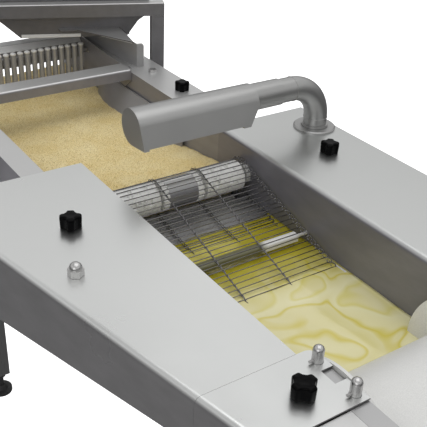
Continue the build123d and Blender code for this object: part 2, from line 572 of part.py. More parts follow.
def make_crumbs():
    """The crumbs as one body on the belt, between the deflectors."""
    ledge = COVER_Z - TROUGH_DEPTH + 73 + GAP
    belt = COVER_Z - CRUMB_ROLLER_DROP + CRUMB_ROLLER_R + RUN_FIT + CRUMB_BELT_THICK + GAP
    top = [(x, COVER_Z - drop) for x, drop in CRUMB_TOP]
    first, last = top[0][0], top[-1][0]
    outline = top + [(last, belt), (first, belt)]
    bed = plate_y(outline, -NEAR_WIDE + GAP, HALF_WIDTH - GAP)
    bed -= block(first - 1, last + 1, -NEAR_WIDE, -CRUMB_BELT_HALF - 2, belt - 1, ledge)
    near_back = SECTION_X - SHEET * 2 - 1 - GAP
    bed -= block(near_back, last + 1, -NEAR_WIDE, -HALF_WIDTH - SHEET, belt - 1, COVER_Z)
    x0, x1 = DEFLECTOR_ENDS[0] - GAP, DEFLECTOR_ENDS[1] + GAP
    high = COVER_Z - DEFLECTOR_TOP
    low = COVER_Z - DEFLECTOR_LOW
    for side, wall in ((1, HALF_WIDTH), (-1, NEAR_WIDE)):
        inside = wall - GAP * 4 - SHEET * 2
        upper = make_face(Polyline((x0, side * inside, high), (x1, side * inside, high), (x1, side * wall, high),
                                   (x0, side * wall, high), close=True))
        ends = inside - 5
        arc = ThreePointArc((x0, side * ends, low), ((x0 + x1) / 2, side * (inside - DEFLECTOR_BULGE), low),
                            (x1, side * ends, low))
        lower = make_face([arc, Polyline(arc @ 1, (x1, side * wall, low), (x0, side * wall, low), arc @ 0)])
        bed -= loft([lower, upper])
        bed -= extrude(lower, amount=8, dir=(0, 0, -1))
    solids = sorted(bed.solids(), key=lambda solid: solid.volume)
    NODES["crumb_bed"] = solids[-1]


# Wire belt, drum and nose roller


def tank_floor(x):
    """Height of the tank's sloping floor at x."""
    fall = (TANK_FLOOR_DROP - TANK_LIP_DROP) / (TANK_SLOPE_END_X - TANK_LIP_X - GAP)
    return COVER_Z - TANK_LIP_DROP - fall * (x - TANK_LIP_X - GAP)


def belt_layout():
    """Centres of the two turns, and the place and angle of every strand."""
    slope = math.radians(BELT_SLOPE_DEG)
    drum = (DRUM_X, COVER_Z - DRUM_DROP)
    drop = (BELT_R - NOSE_R - math.sin(slope) * (NOSE_X - DRUM_X)) / math.cos(slope)
    nose = (NOSE_X, drum[1] + drop)
    apart = math.hypot(nose[0] - drum[0], nose[1] - drum[1])
    half = math.asin((BELT_R - NOSE_R) / apart)
    line = math.atan2(drum[1] - nose[1], nose[0] - drum[0])
    straight = math.sqrt(apart ** 2 - (BELT_R - NOSE_R) ** 2)
    low_slope = line - half
    nose_turn = math.pi - 2 * half
    drum_turn = math.pi + 2 * half
    total = 2 * straight + NOSE_R * nose_turn + BELT_R * drum_turn
    count = round(total / STRAND_PITCH)
    strands = []
    for k in range(count):
        s = k * total / count
        if s < straight:
            a = math.pi / 2 - slope
            x = drum[0] + BELT_R * math.cos(a) + s * math.cos(slope)
            z = drum[1] + BELT_R * math.sin(a) - s * math.sin(slope)
            strands.append(("carry", x, z, -slope))
            continue
        s -= straight
        if s < NOSE_R * nose_turn:
            a = math.pi / 2 - slope - s / NOSE_R
            strands.append(("nose", nose[0] + NOSE_R * math.cos(a), nose[1] + NOSE_R * math.sin(a), a - math.pi / 2))
            continue
        s -= NOSE_R * nose_turn
        if s < straight:
            a = -math.pi / 2 - low_slope
            x = nose[0] + NOSE_R * math.cos(a) - s * math.cos(low_slope)
            z = nose[1] + NOSE_R * math.sin(a) + s * math.sin(low_slope)
            strands.append(("return", x, z, math.pi - low_slope))
            continue
        s -= straight
        a = -math.pi / 2 - low_slope - s / BELT_R
        strands.append(("drum", drum[0] + BELT_R * math.cos(a), drum[1] + BELT_R * math.sin(a), a - math.pi / 2))
    return drum, nose, strands


def make_strand():
    """One bent wire, flat in XY: straight runs, a kink at each column and a hook at each end."""
    w = WIRE / 2
    jog = 1.4
    middle = [(0, -BELT_HALF - HOOK_OUT)]
    for y in (-BELT_COLUMN, BELT_COLUMN):
        middle += [(0, y - 3), (-jog, y - 1), (jog, y + 1), (0, y + 3)]
    middle.append((0, BELT_HALF + HOOK_OUT))
    right = [(x + w, y) for x, y in middle]
    left = [(x - w, y) for x, y in reversed(middle)]
    far_hook = [(HOOK_LONG, BELT_HALF + HOOK_OUT), (HOOK_LONG, BELT_HALF + HOOK_OUT + WIRE),
                (-w, BELT_HALF + HOOK_OUT + WIRE)]
    near_hook = [(-w, -BELT_HALF - HOOK_OUT - WIRE), (HOOK_LONG, -BELT_HALF - HOOK_OUT - WIRE),
                 (HOOK_LONG, -BELT_HALF - HOOK_OUT)]
    return plate_z(right + far_hook + left[1:-1] + near_hook, -w, w)


def make_wire_belt():
    drum, nose, strands = belt_layout()
    strand = make_strand()
    runs = {"carry": [], "nose": [], "return": [], "drum": []}
    for run, x, z, angle in strands:
        runs[run].append(Pos(x, 0, z) * Rot(0, -math.degrees(angle), 0) * strand)
    NODES["belt_carrying_run"] = group(*runs["carry"])
    NODES["belt_return_run"] = group(*runs["return"])
    NODES["belt_turns"] = group(*runs["nose"], *runs["drum"])

    sections = []
    for side in (-1, 1):
        y0, y1 = sorted((side * SECTION_IN, side * DRUM_HALF))
        section = bar_y(drum[0], y0, y1, drum[1], DRUM_R) - bar_y(drum[0], y0 - 1, y1 + 1, drum[1], SHAFT_R)
        for y in (side * 58.0, side * 84.0):
            for k in range(6):
                cut = Pos(drum[0], y, drum[1]) * Rot(0, 60 * k + 12, 0) * Pos(0, 0, DRUM_R) * Box(11, 6.5, 7)
                section -= cut
        sections.append(section)
    root = DRUM_R - TOOTH_DEEP
    outline = []
    for k in range(RING_TEETH):
        for part, radius in ((-0.30, root), (-0.26, DRUM_R), (0.26, DRUM_R), (0.30, root)):
            a = 2 * math.pi * (k + part) / RING_TEETH
            outline.append((drum[0] + radius * math.cos(a), drum[1] + radius * math.sin(a)))
    for side in (-1, 1):
        y0, y1 = sorted((side * RING_IN, side * RING_OUT))
        sections.append(plate_y(outline, y0, y1) - bar_y(drum[0], y0 - 1, y1 + 1, drum[1], SHAFT_R))
    NODES["drum_sleeves"] = group(*sections)
    hub = bar_y(drum[0], -RING_IN, RING_IN, drum[1], DRUM_R - 1.5)
    NODES["drum_shaft"] = hub + bar_y(drum[0], -HALF_WIDTH - 75, HALF_WIDTH - 1, drum[1], SHAFT_R)
    wide = HALF_WIDTH + SHEET + GAP
    bearings = []
    for side in (-1, 1):
        y0, y1 = sorted((side * (BELT_HALF + HOOK_OUT + WIRE + 1), side * wide))
        ring = bar_y(drum[0], y0, y1, drum[1], BEARING_R)
        bearings.append(ring - bar_y(drum[0], y0 - 1, y1 + 1, drum[1], SHAFT_R + RUN_FIT))

    roller_r = NOSE_R - WIRE / 2 - RUN_GAP
    end = BELT_HALF + HOOK_OUT + WIRE + 1
    NODES["nose_roller"] = bar_y(nose[0], -end, end, nose[1], roller_r) \
        + bar_y(nose[0], -wide + GAP, HALF_WIDTH - GAP, nose[1], roller_r - 2)
    for side in (-1, 1):
        y0, y1 = sorted((side * (end + GAP), side * (HALF_WIDTH - GAP if side > 0 else wide)))
        holder = plate_y([(nose[0] - 12, tank_floor(nose[0] - 12)), (nose[0] + 12, tank_floor(nose[0] + 12)),
                          (nose[0] + 12, nose[1] + 9), (nose[0] - 12, nose[1] + 9)], y0, y1)
        bearings.append(holder - bar_y(nose[0], y0 - 1, y1 + 1, nose[1], roller_r - 2 + RUN_FIT))
    NODES["belt_bearings"] = group(*bearings)

    slope = math.tan(math.radians(BELT_SLOPE_DEG))
    top = drum[1] + BELT_R / math.cos(math.radians(BELT_SLOPE_DEG)) - (SLIDE_X - drum[0]) * slope
    bar_top = top - WIRE / 2 - GAP - 0.5
    bar = block(SLIDE_X - 7, SLIDE_X + 7, -104, 104, bar_top - 11, bar_top)
    bar = fillet(bar.edges().filter_by(Axis.Y).group_by(Axis.Z)[-1], 4)
    NODES["slide_bar"] = bar + bar_y(SLIDE_X, -wide, HALF_WIDTH - GAP, bar_top - 6, 3)

    inner_y = wide + SHEET + GAP
    box = block(drum[0] - 30, drum[0] + 30, -inner_y - 66, -inner_y - SHEET - GAP, drum[1] - 36, drum[1] + 36)
    box -= bar_y(drum[0], -300, -100, drum[1], SHAFT_R + RUN_FIT)
    motor = bar_x(drum[0] + 30, drum[0] + 170, -inner_y - 40, drum[1], 30)
    motor += block(drum[0] + 60, drum[0] + 120, -inner_y - 62, -inner_y - 18, drum[1] + 20, drum[1] + 34)
    NODES["drum_gearmotor"] = box + motor


# Air knife and blower


def make_air():
    axis_z = COVER_Z + PIPE_RISE
    start = COVER_Z - 8
    riser = bar_z(PIPE_X, PIPE_Y, start, axis_z - ELBOW_R, PIPE_R) \
        - bar_z(PIPE_X, PIPE_Y, start - 1, axis_z - ELBOW_R + 1, PIPE_R - PIPE_WALL)
    ring = Pos(PIPE_X, PIPE_Y, axis_z - ELBOW_R) * (Circle(PIPE_R) - Circle(PIPE_R - PIPE_WALL))
    pivot = Axis((PIPE_X, PIPE_Y - ELBOW_R, axis_z - ELBOW_R), (1, 0, 0))
    elbow = revolve(ring, axis=pivot, revolution_arc=90)
    straight = bar_y(PIPE_X, TUBE_END_Y, PIPE_Y - ELBOW_R, axis_z, PIPE_R) \
        - bar_y(PIPE_X, TUBE_END_Y - 1, PIPE_Y - ELBOW_R + 1, axis_z, PIPE_R - PIPE_WALL)
    pipe = riser + elbow + straight
    pipe += bar_z(PIPE_X, PIPE_Y, COVER_Z + RING_THICK + GAP, COVER_Z + RING_THICK + 4, PIPE_R + 3) \
        - bar_z(PIPE_X, PIPE_Y, start - 1, axis_z - ELBOW_R, PIPE_R - PIPE_WALL)
    NODES["air_pipe"] = pipe
    ring = bar_z(PIPE_X, PIPE_Y, COVER_Z, COVER_Z + RING_THICK, RING_R)
    ring = chamfer(ring.edges().group_by(Axis.Z)[-1], 1.5)
    NODES["air_foot_ring"] = ring - bar_z(PIPE_X, PIPE_Y, COVER_Z - 1, COVER_Z + 9, PIPE_R + RUN_FIT)

    middle_z = axis_z - NOZZLE_DROP

    def drop(inset, y0, y1):
        """The nozzle's section, a circle drawn out to a blowing edge."""
        r = NOZZLE_R - inset
        tip = (NOZZLE_TIP_X - inset * 1.5, NOZZLE_TIP_Z + inset)
        far = math.hypot(*tip)
        lean = math.atan2(tip[1], tip[0])
        half = math.acos(r / far)
        a = (r * math.cos(lean + half), r * math.sin(lean + half))
        b = (r * math.cos(lean - half), r * math.sin(lean - half))
        back = (r * math.cos(lean + math.pi), r * math.sin(lean + math.pi))

        def at(point):
            return (PIPE_X + point[0], y0, middle_z + point[1])
        arc = ThreePointArc(at(a), at(back), at(b))
        face = make_face([arc, Line(at(b), at(tip)), Line(at(tip), at(a))])
        return extrude(face, amount=y1 - y0, dir=(0, 1, 0))
    outside = drop(0, NOZZLE_NEAR_Y, NOZZLE_FAR_Y)
    cut = [(NOZZLE_FAR_Y + 1, axis_z - 60), (NOZZLE_FAR_Y - 48, axis_z - 60), (NOZZLE_FAR_Y - 3, axis_z - 5),
           (NOZZLE_FAR_Y + 1, axis_z - 5)]
    wedge = plate_x(cut, PIPE_X - 60, PIPE_X + 60)
    wall = 1.5
    cap = 3.0
    inside = drop(wall, NOZZLE_NEAR_Y - 1, NOZZLE_FAR_Y - wall)
    cut_in = [(y - 2, z) for y, z in cut]
    inside -= plate_x([(NOZZLE_FAR_Y + 1, axis_z - 60), (cut_in[1][0] - 2, axis_z - 60), (cut_in[2][0], axis_z - 3),
                       (NOZZLE_FAR_Y + 1, axis_z - 3)], PIPE_X - 60, PIPE_X + 60)
    nozzle = outside - wedge - inside
    slit = block(PIPE_X + NOZZLE_TIP_X - 8, PIPE_X + NOZZLE_TIP_X + 4, NOZZLE_NEAR_Y + 8, NOZZLE_FAR_Y - 34,
                 middle_z + NOZZLE_TIP_Z - 6, middle_z + NOZZLE_TIP_Z + 2.2)
    nozzle -= slit
    nozzle += bar_y(PIPE_X, TUBE_END_Y + 4, SLEEVE_END_Y, axis_z, SLEEVE_R)
    nozzle -= bar_y(PIPE_X, TUBE_END_Y, SLEEVE_END_Y + 2, axis_z, PIPE_R)
    NODES["air_nozzle"] = nozzle + drop(wall, NOZZLE_NEAR_Y, NOZZLE_NEAR_Y + cap)

    fan_y = PIPE_Y - 38
    fan_z = COVER_Z - 130
    casing = bar_x(PIPE_X - 25, PIPE_X + 25, fan_y, fan_z, 60)
    casing += block(PIPE_X - 25, PIPE_X + 25, PIPE_Y - 22, PIPE_Y + 22, fan_z, COVER_Z - 58)
    hollow = bar_x(PIPE_X - 22, PIPE_X + 22, fan_y, fan_z, 57)
    hollow += block(PIPE_X - 22, PIPE_X + 22, PIPE_Y - 19, PIPE_Y + 19, fan_z, COVER_Z - 57)
    casing -= hollow
    casing -= bar_x(PIPE_X - 30, PIPE_X - 10, fan_y, fan_z, 26)
    casing -= bar_x(PIPE_X + 10, PIPE_X + 30, fan_y, fan_z, 9)
    duct = bar_z(PIPE_X, PIPE_Y, COVER_Z - 58, COVER_Z - 10, 21)
    duct += block(PIPE_X - 25, PIPE_X + 25, PIPE_Y - 22, PIPE_Y + 22, COVER_Z - 58, COVER_Z - 55)
    NODES["blower_casing"] = casing + duct - bar_z(PIPE_X, PIPE_Y, COVER_Z - 59, COVER_Z - 9, 19)
    wheel = bar_x(PIPE_X + 14, PIPE_X + 18, fan_y, fan_z, 50)
    for k in range(10):
        blade = Pos(PIPE_X - 1, fan_y, fan_z) * Rot(36 * k, 0, 0) * Pos(0, 0, 38) * Box(30, 2.5, 23)
        wheel += blade
    wheel += bar_x(PIPE_X + 6, PIPE_X + 44, fan_y, fan_z, 8)
    NODES["blower_wheel"] = wheel
    motor = bar_x(PIPE_X + 26, PIPE_X + 140, fan_y, fan_z, 44)
    motor -= bar_x(PIPE_X + 25, PIPE_X + 46, fan_y, fan_z, 8 + RUN_FIT)
    motor += block(PIPE_X + 40, PIPE_X + 110, fan_y - 36, fan_y + 36, COVER_Z - 228, fan_z - 38)
    NODES["blower_motor"] = motor


# Press and comb unit


def make_press_unit():
    near_y = -NEAR_WIDE + GAP
    far_y = HALF_WIDTH - GAP
    top = COVER_Z + BAR_TOP
    bar = block(BAR_BACK_X, BAR_FRONT_X, near_y + SHEET, far_y - SHEET, top - BAR_DEEP, top)
    bar = fillet(bar.edges().filter_by(Axis.Y).group_by(Axis.Z)[-1], 4)
    core = block(BAR_BACK_X + SHEET, BAR_FRONT_X - SHEET, near_y, far_y, top - BAR_DEEP - 1, top - SHEET)
    NODES["front_crossbar"] = bar - fillet(core.edges().filter_by(Axis.Y).group_by(Axis.Z)[-1], 2)
    rear_top = COVER_Z + SIDE_TOP_BACK
    rear = block(REAR_BACK_X, REAR_FRONT_X, near_y + SHEET, far_y - SHEET, rear_top - 30, rear_top)
    rear -= block(REAR_BACK_X - 1, REAR_FRONT_X - SHEET, near_y, far_y, rear_top - 31, rear_top - SHEET)
    flange = COVER_Z - FLANGE_DROP
    outline = [(REAR_BACK_X, COVER_Z + SIDE_TOP_BACK), (BAR_FRONT_X, COVER_Z + SIDE_TOP_FRONT),
               (BAR_FRONT_X, COVER_Z - 20), (BAR_FRONT_X - 40, COVER_Z - SIDE_DEEP),
               (REAR_BACK_X, COVER_Z - SIDE_DEEP)]
    sides = [rear]
    for y in (near_y, far_y - SHEET):
        plate = plate_y(outline, y, y + SHEET)
        plate -= bar_y(COMB_X - 14, y - 1, y + SHEET + 1, COVER_Z - 16, 5 + RUN_FIT)
        sides.append(plate)
    NODES["unit_frame"] = group(*sides)

    guards = []
    for side in (1, -1):
        wall = HALF_WIDTH if side > 0 else NEAR_WIDE
        a = (REAR_BACK_X - 4, side * (wall + 8))
        b = (-322.0, side * (wall + 22))
        plan = [a, b, (b[0], b[1] + side * SHEET), (a[0], a[1] + side * SHEET)]
        plate = plate_z(plan, flange, flange + GUARD_FRONT)
        over = flange + GUARD_FRONT * 2
        above = [(a[0] - 5, flange + GUARD_BACK), (b[0] - 16, flange + GUARD_FRONT - 3), (b[0] - 16, over),
                 (a[0] - 5, over)]
        plate -= plate_y(above, *sorted((0, side * (wall + 60))))
        y0, y1 = sorted((b[1], b[1] + side * 15))
        lug = block(b[0] - SHEET, b[0], y0, y1, flange, flange + GUARD_FRONT)
        lug += block(b[0] - 12, b[0], *sorted((b[1], b[1] + side * SHEET)), flange, flange + GUARD_FRONT)
        foot = block(b[0] - 14, b[0], *sorted((b[1] - side * 12, b[1])), flange, flange + SHEET)
        tip = lug.edges().filter_by(Axis.X).group_by(Axis.Z)[-1].sort_by(Axis.Y)
        lug = fillet(tip[-1] if side > 0 else tip[0], 7)
        guards.append(plate + lug + foot)
    NODES["side_guards"] = group(*guards)

    axle_y0 = -NEAR_WIDE + GAP
    axle = bar_y(COMB_X - 14, axle_y0, HALF_WIDTH - GAP, COVER_Z - 16, 5)
    top_z = COVER_Z + COMB_TOP
    comb = axle
    comb += block(COMB_X - 12, COMB_X - 5, COMB_LAST_Y - COMB_PITCH * (COMB_RODS - 1) - 4, COMB_LAST_Y + 4,
                  COVER_Z - 26, COVER_Z - 8)
    for k in range(COMB_RODS):
        y = COMB_LAST_Y - COMB_PITCH * k
        comb += Pos(COMB_X, y, top_z - COMB_LONG) * extrude(RegularPolygon(COMB_ROD_R, 8), amount=COMB_LONG)
    NODES["comb"] = comb


# Hopper stand


def turned(solid):
    """Turn a piece of the arm about the post to its place at rest."""
    return Pos(POST_X, POST_Y, 0) * Rot(0, 0, ARM_TURN_DEG) * Pos(-POST_X, -POST_Y, 0) * solid


def make_hopper_stand():
    half = TUBE / 2
    arm_z = COVER_Z + ARM_BOTTOM
    low = LOW_RAIL_Z
    post = square_tube(POST_X - half, POST_X + half, POST_Y - half, POST_Y + half, low, arm_z - GAP, TUBE_WALL, "z")
    post += block(POST_X - half, POST_X + half, POST_Y - half, POST_Y + half, arm_z - GAP - 40, arm_z - GAP)
    post -= bar_z(POST_X, POST_Y, arm_z - 36, arm_z + 1, PIVOT_R + RUN_FIT)
    NODES["hopper_post"] = turned(post)
    rail_y = LEG_Y + LEG / 2
    rail_z = COVER_Z - TROUGH_DEPTH - LEG
    brackets = [block(-335, -305, -275, -rail_y, rail_z + 2, COVER_Z - 180)]
    round_post = turned(block(POST_X - half, POST_X + half, POST_Y - half, POST_Y + half, low - 1, arm_z))
    for y, z, thick in ((rail_y, rail_z + 8, 6), (LEG / 2, LOW_RAIL_Z + 14, 8)):
        brackets.append(block(POST_X - 10, POST_X + 10, y, POST_Y - 5, z, z + thick) - round_post)
    inner_y = HALF_WIDTH + SHEET * 2 + GAP * 2
    for x in (60, 300, 540):
        brackets.append(block(x - 20, x + 20, rail_y, inner_y, rail_z + 5, rail_z + 35))
    tank_z = COVER_Z - TANK_FLOOR_DROP - SHEET
    for x in (TANK_SLOPE_END_X + 25, TANK_END_X - 95):
        for y in (-LEG_Y, LEG_Y):
            brackets.append(square_tube(x - 15, x + 15, y - 15, y + 15, rail_z + LEG, tank_z, SHEET, "z"))
    NODES["top_rails"] = group(NODES["top_rails"], *brackets)
    arm = square_tube(POST_X - half, POST_X + half, POST_Y + half - ARM_LONG, POST_Y + half, arm_z, arm_z + TUBE,
                      TUBE_WALL, "y")
    for y in (POST_Y + half - TUBE_WALL, POST_Y + half - ARM_LONG):
        arm += block(POST_X - half, POST_X + half, y, y + TUBE_WALL, arm_z, arm_z + TUBE)
    arm = fillet(arm.edges().filter_by(Axis.Y).group_by(Axis.Z)[-1], 2.5)
    arm += bar_z(POST_X, POST_Y, arm_z - 34, arm_z + TUBE_WALL, PIVOT_R)
    NODES["hopper_arm"] = turned(arm)

    front = POST_X - half - 2.5
    back = front - HOPPER_WIDE
    y0, y1 = POST_Y - HOPPER_ENDS[1], POST_Y - HOPPER_ENDS[0]
    rim = arm_z + HOPPER_HIGH

    def funnel(inset):
        rings = []
        for up, start, end, deep in HOPPER_STEPS:
            z = COVER_Z + up
            xa, xb = front - inset, front - deep + inset
            ya, yb = POST_Y - start - inset, POST_Y - end + inset
            rings.append(make_face(Polyline((xa, ya, z), (xb, ya, z), (xb, yb, z), (xa, yb, z), close=True)))
        return loft(rings[:2], ruled=True) + loft(rings[1:], ruled=True)
    low_z = COVER_Z + HOPPER_STEPS[0][0]
    high_z = COVER_Z + HOPPER_STEPS[-1][0]
    lip = POST_Y - HOPPER_STEPS[-1][1]
    hopper = block(back, front, y0, y1, high_z, rim) + funnel(0)
    hopper -= block(back + SHEET, front - SHEET, y0 + SHEET, y1 - SHEET, high_z + SHEET, rim + 1)
    hopper -= block(back + SHEET, front - SHEET, y0 + SHEET, lip - SHEET, high_z - 1, high_z + SHEET + 1)
    hopper -= funnel(SHEET)
    wall = [(POST_Y - start, COVER_Z + up) for up, start, end, deep in HOPPER_STEPS]
    skirt_in = wall[0][0] - (HOPPER_STEPS[0][0] - HOPPER_SKIRT) * 0.72
    hopper += plate_x([(skirt_in, COVER_Z + HOPPER_SKIRT), wall[0], wall[1],
                       (POST_Y - HOPPER_STEPS[1][2], COVER_Z + HOPPER_STEPS[1][0]),
                       (POST_Y - HOPPER_STEPS[0][2], COVER_Z + HOPPER_SKIRT)], front - SHEET, front)
    tray_z = arm_z - TRAY_DROP
    hopper += plate_z([(POST_X + out, POST_Y - along) for out, along in TRAY_PLAN], tray_z - SHEET, tray_z)
    for y in (y0 + 35, y1 - 75):
        hopper += block(front - 0.5, POST_X - half, y, y + 30, arm_z + 2, arm_z + 22)
    NODES["crumb_hopper"] = turned(hopper)
    gate_back = front - HOPPER_STEPS[0][3] - GATE_EDGE - GATE_PULL
    gate_ys = (POST_Y - HOPPER_STEPS[0][2] - GATE_EDGE, POST_Y - HOPPER_STEPS[0][1] + GATE_EDGE)
    gate = block(gate_back, front - SHEET - GAP, *gate_ys, low_z - SHEET - GAP, low_z - GAP)
    gate += block(gate_back, gate_back + SHEET, POST_Y - 190, POST_Y - 130, low_z - SHEET - GAP, low_z + 11)
    NODES["hopper_gate"] = turned(gate)


# Control box


def make_controls():
    x0, x1 = -420.0, -220.0
    y0, y1 = -345.0, -245.0
    z0, z1 = COVER_Z - 180, COVER_Z + 60
    box = block(x0, x1, y0, y1, z0, z1)
    box = fillet(box.edges().filter_by(Axis.Y), 6)
    face = y0
    spots = {"start_button": (-370, 8), "stop_button": (-320, 8), "emergency_stop": (-265, 8),
             "belt_dial": (-365, -70), "crumb_dial": (-275, -70)}
    for x, z in spots.values():
        box -= bar_y(x, face - 1, face + 26, COVER_Z + z, 8 + GAP)
    NODES["control_box"] = box
    for name, cap_r, deep in (("start_button", 12, 8), ("stop_button", 12, 8), ("emergency_stop", 20, 16)):
        x, z = spots[name]
        z += COVER_Z
        button = bar_y(x, face - deep - 4, face - 4, z, cap_r) + bar_y(x, face - 4, face + 18, z, 8)
        button = chamfer(button.edges().group_by(Axis.Y)[0], 1.5)
        NODES[name] = button
    for name in ("belt_dial", "crumb_dial"):
        x, z = spots[name]
        z += COVER_Z
        dial = bar_y(x, face - 16, face - GAP, z, 16)
        dial = chamfer(dial.edges().group_by(Axis.Y)[0], 1.5)
        dial += block(x - 1.5, x + 1.5, face - 17.5, face - 15, z + 4, z + 15)
        dial += bar_y(x, face - 2, face + 18, z, 8)
        NODES[name] = dial


# Knobs and fasteners


def star_knob(spot, base, radius, high, stud_end):
    """A moulded knob with five lobes on a threaded stud."""
    body = Circle(radius * 0.66)
    for k in range(5):
        body += Rot(0, 0, 72 * k + 20) * Pos(radius * 0.66, 0) * Circle(radius * 0.34)
    knob = extrude(body, amount=high)
    knob = chamfer(knob.edges().group_by(Axis.Z)[-1], 1.2)
    knob = Pos(spot[0], spot[1], base + GAP) * knob
    return knob + bar_z(spot[0], spot[1], stud_end, base + GAP + 1, KNOB_STUD_R)


def make_fasteners():
    near_end = COVER_Z - NEAR_SHELF_DROP + GAP
    far_end = COVER_Z - FAR_SHELF_DROP + GAP
    flange = COVER_Z - FLANGE_DROP
    NODES["near_cover_knob"] = star_knob(NEAR_KNOB, COVER_Z, KNOB_R, KNOB_HIGH, near_end)
    NODES["end_cover_knob"] = star_knob(BIG_KNOB, COVER_Z, KNOB_R, KNOB_HIGH, near_end)
    NODES["far_cover_knob"] = star_knob(FAR_KNOB, COVER_Z, KNOB_R, KNOB_HIGH, far_end)
    NODES["flange_knob"] = star_knob(FLANGE_KNOB, flange, SMALL_KNOB_R, SMALL_KNOB_HIGH, flange - 8)
    nut = Pos(CAP_NUT[0], CAP_NUT[1], COVER_Z + GAP) * extrude(RegularPolygon(9.8, 6), amount=9)
    dome = Pos(CAP_NUT[0], CAP_NUT[1], COVER_Z + 9 + GAP) * Sphere(8)
    dome -= block(CAP_NUT[0] - 20, CAP_NUT[0] + 20, CAP_NUT[1] - 20, CAP_NUT[1] + 20, COVER_Z - 20, COVER_Z + 9)
    NODES["cap_nut"] = nut + dome + bar_z(CAP_NUT[0], CAP_NUT[1], COVER_Z - 12, COVER_Z + 1, 5)
    base = COVER_Z - FLANGE_DROP
    NODES["flange_bolt"] = Pos(FLANGE_BOLT[0], FLANGE_BOLT[1], base) * extrude(RegularPolygon(7.5, 6), amount=5)
    pins = []
    for x in PIN_XS:
        bottom = COVER_Z - SHEET - 1 - GAP
        pin = bar_z(x, PIN_Y, bottom, COVER_Z + PIN_HIGH - PIN_R, PIN_R)
        pin += Pos(x, PIN_Y, COVER_Z + PIN_HIGH - PIN_R) * Sphere(PIN_R)
        pin += bar_y(x, PIN_Y - 11, PIN_Y, COVER_Z + 3, 1.6)
        pins.append(pin)
    NODES["guide_pins"] = group(*pins)


make_frame()
make_crumb_trough()
make_covers()
make_housings()
make_tank()
make_batter()
make_crumbs()
make_wire_belt()
make_air()
make_press_unit()
make_hopper_stand()
make_controls()
make_fasteners()

# The whole machine is moved so that the origin lies on the floor under the middle of its outline
boxes = [shape.bounding_box() for shape in NODES.values()]
shift_x = -(min(b.min.X for b in boxes) + max(b.max.X for b in boxes)) / 2
shift_y = -(min(b.min.Y for b in boxes) + max(b.max.Y for b in boxes)) / 2
print("shift", round(shift_x, 4), round(shift_y, 4))
os.makedirs("parts", exist_ok=True)
for name, shape in NODES.items():
    placed = [Pos(shift_x, shift_y, 0) * solid for solid in shape.solids()]
    export_step(placed[0] if len(placed) == 1 else Compound(placed), f"parts/{name}.step")
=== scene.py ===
"""Looks of a batter breading machine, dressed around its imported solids.

Lengths are millimetres in the machine's own frame until put() turns them into the row's metres:
x runs along the line from the middle section's back edge, y from the middle of the trough,
and z from the top face of the covers.
"""
import json
import math

import bpy
from mathutils import Matrix, Vector


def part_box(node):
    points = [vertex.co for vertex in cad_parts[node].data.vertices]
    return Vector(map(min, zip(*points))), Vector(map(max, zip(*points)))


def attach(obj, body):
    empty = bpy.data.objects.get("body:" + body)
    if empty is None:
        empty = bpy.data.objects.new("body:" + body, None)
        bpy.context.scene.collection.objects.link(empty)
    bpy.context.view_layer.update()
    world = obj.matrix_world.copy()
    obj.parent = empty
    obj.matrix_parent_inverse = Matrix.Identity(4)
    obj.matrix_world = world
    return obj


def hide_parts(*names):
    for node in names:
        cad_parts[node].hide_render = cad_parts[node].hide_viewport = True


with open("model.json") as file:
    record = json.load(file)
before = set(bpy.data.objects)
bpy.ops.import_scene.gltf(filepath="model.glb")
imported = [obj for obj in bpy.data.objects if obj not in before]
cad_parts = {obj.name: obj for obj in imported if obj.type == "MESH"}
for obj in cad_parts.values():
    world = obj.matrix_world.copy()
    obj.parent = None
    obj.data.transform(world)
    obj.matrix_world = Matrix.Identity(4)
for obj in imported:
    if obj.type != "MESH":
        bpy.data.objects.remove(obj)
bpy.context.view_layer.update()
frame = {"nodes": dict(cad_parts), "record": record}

COVER_TOP = 900.0
DRUM_X = 64.0
DRUM_Z = -50.0
HALF_WIDTH = 125.0
NEAR_WIDE = 180.0

drum_low, drum_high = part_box("drum_sleeves")
SHIFT = Vector(((drum_low.x + drum_high.x) / 2 - DRUM_X / 1000, (drum_low.y + drum_high.y) / 2, 0))


def put(x, y, z):
    """A point of the machine, in the row's frame."""
    return Vector((x / 1000, y / 1000, (z + COVER_TOP) / 1000)) + SHIFT


# Photograph's camera

CAMERA_PLACE = (958.6, -563.2, 525.6)
CAMERA_YAW = 54.74
CAMERA_PITCH = 30.08
CAMERA_ROLL = 2.73
CAMERA_ANGLE = 29.93


def add_camera():
    data = bpy.data.cameras.new("photo_camera")
    data.sensor_fit = "HORIZONTAL"
    data.angle = math.radians(CAMERA_ANGLE)
    data.clip_start = 0.02
    data.clip_end = 60
    camera = bpy.data.objects.new("photo_camera", data)
    bpy.context.scene.collection.objects.link(camera)
    yaw, pitch, roll = (math.radians(a) for a in (CAMERA_YAW, CAMERA_PITCH, CAMERA_ROLL))
    ahead = Vector((-math.sin(yaw) * math.cos(pitch), math.cos(yaw) * math.cos(pitch), -math.sin(pitch)))
    side = ahead.cross(Vector((0, 0, 1))).normalized()
    up = side.cross(ahead)
    right = math.cos(roll) * side + math.sin(roll) * up
    upright = -math.sin(roll) * side + math.cos(roll) * up
    turn = Matrix((right, upright, -ahead)).transposed()
    camera.matrix_world = Matrix.Translation(put(*CAMERA_PLACE)) @ turn.to_4x4()
    bpy.context.scene.camera = camera


# Light and floor


# Brightness of the surround by height: 0 is straight down, 0.5 the horizon and 1 straight up
SKY_LEVELS = ((0.0, 0.10), (0.50, 0.10), (0.565, 0.15), (0.61, 0.42), (0.64, 0.58), (0.70, 0.60),
              (0.735, 0.69), (0.772, 0.98), (0.80, 0.84), (0.84, 0.54), (0.90, 0.52), (1.0, 0.54))
FLOOR_HALF = 14.0


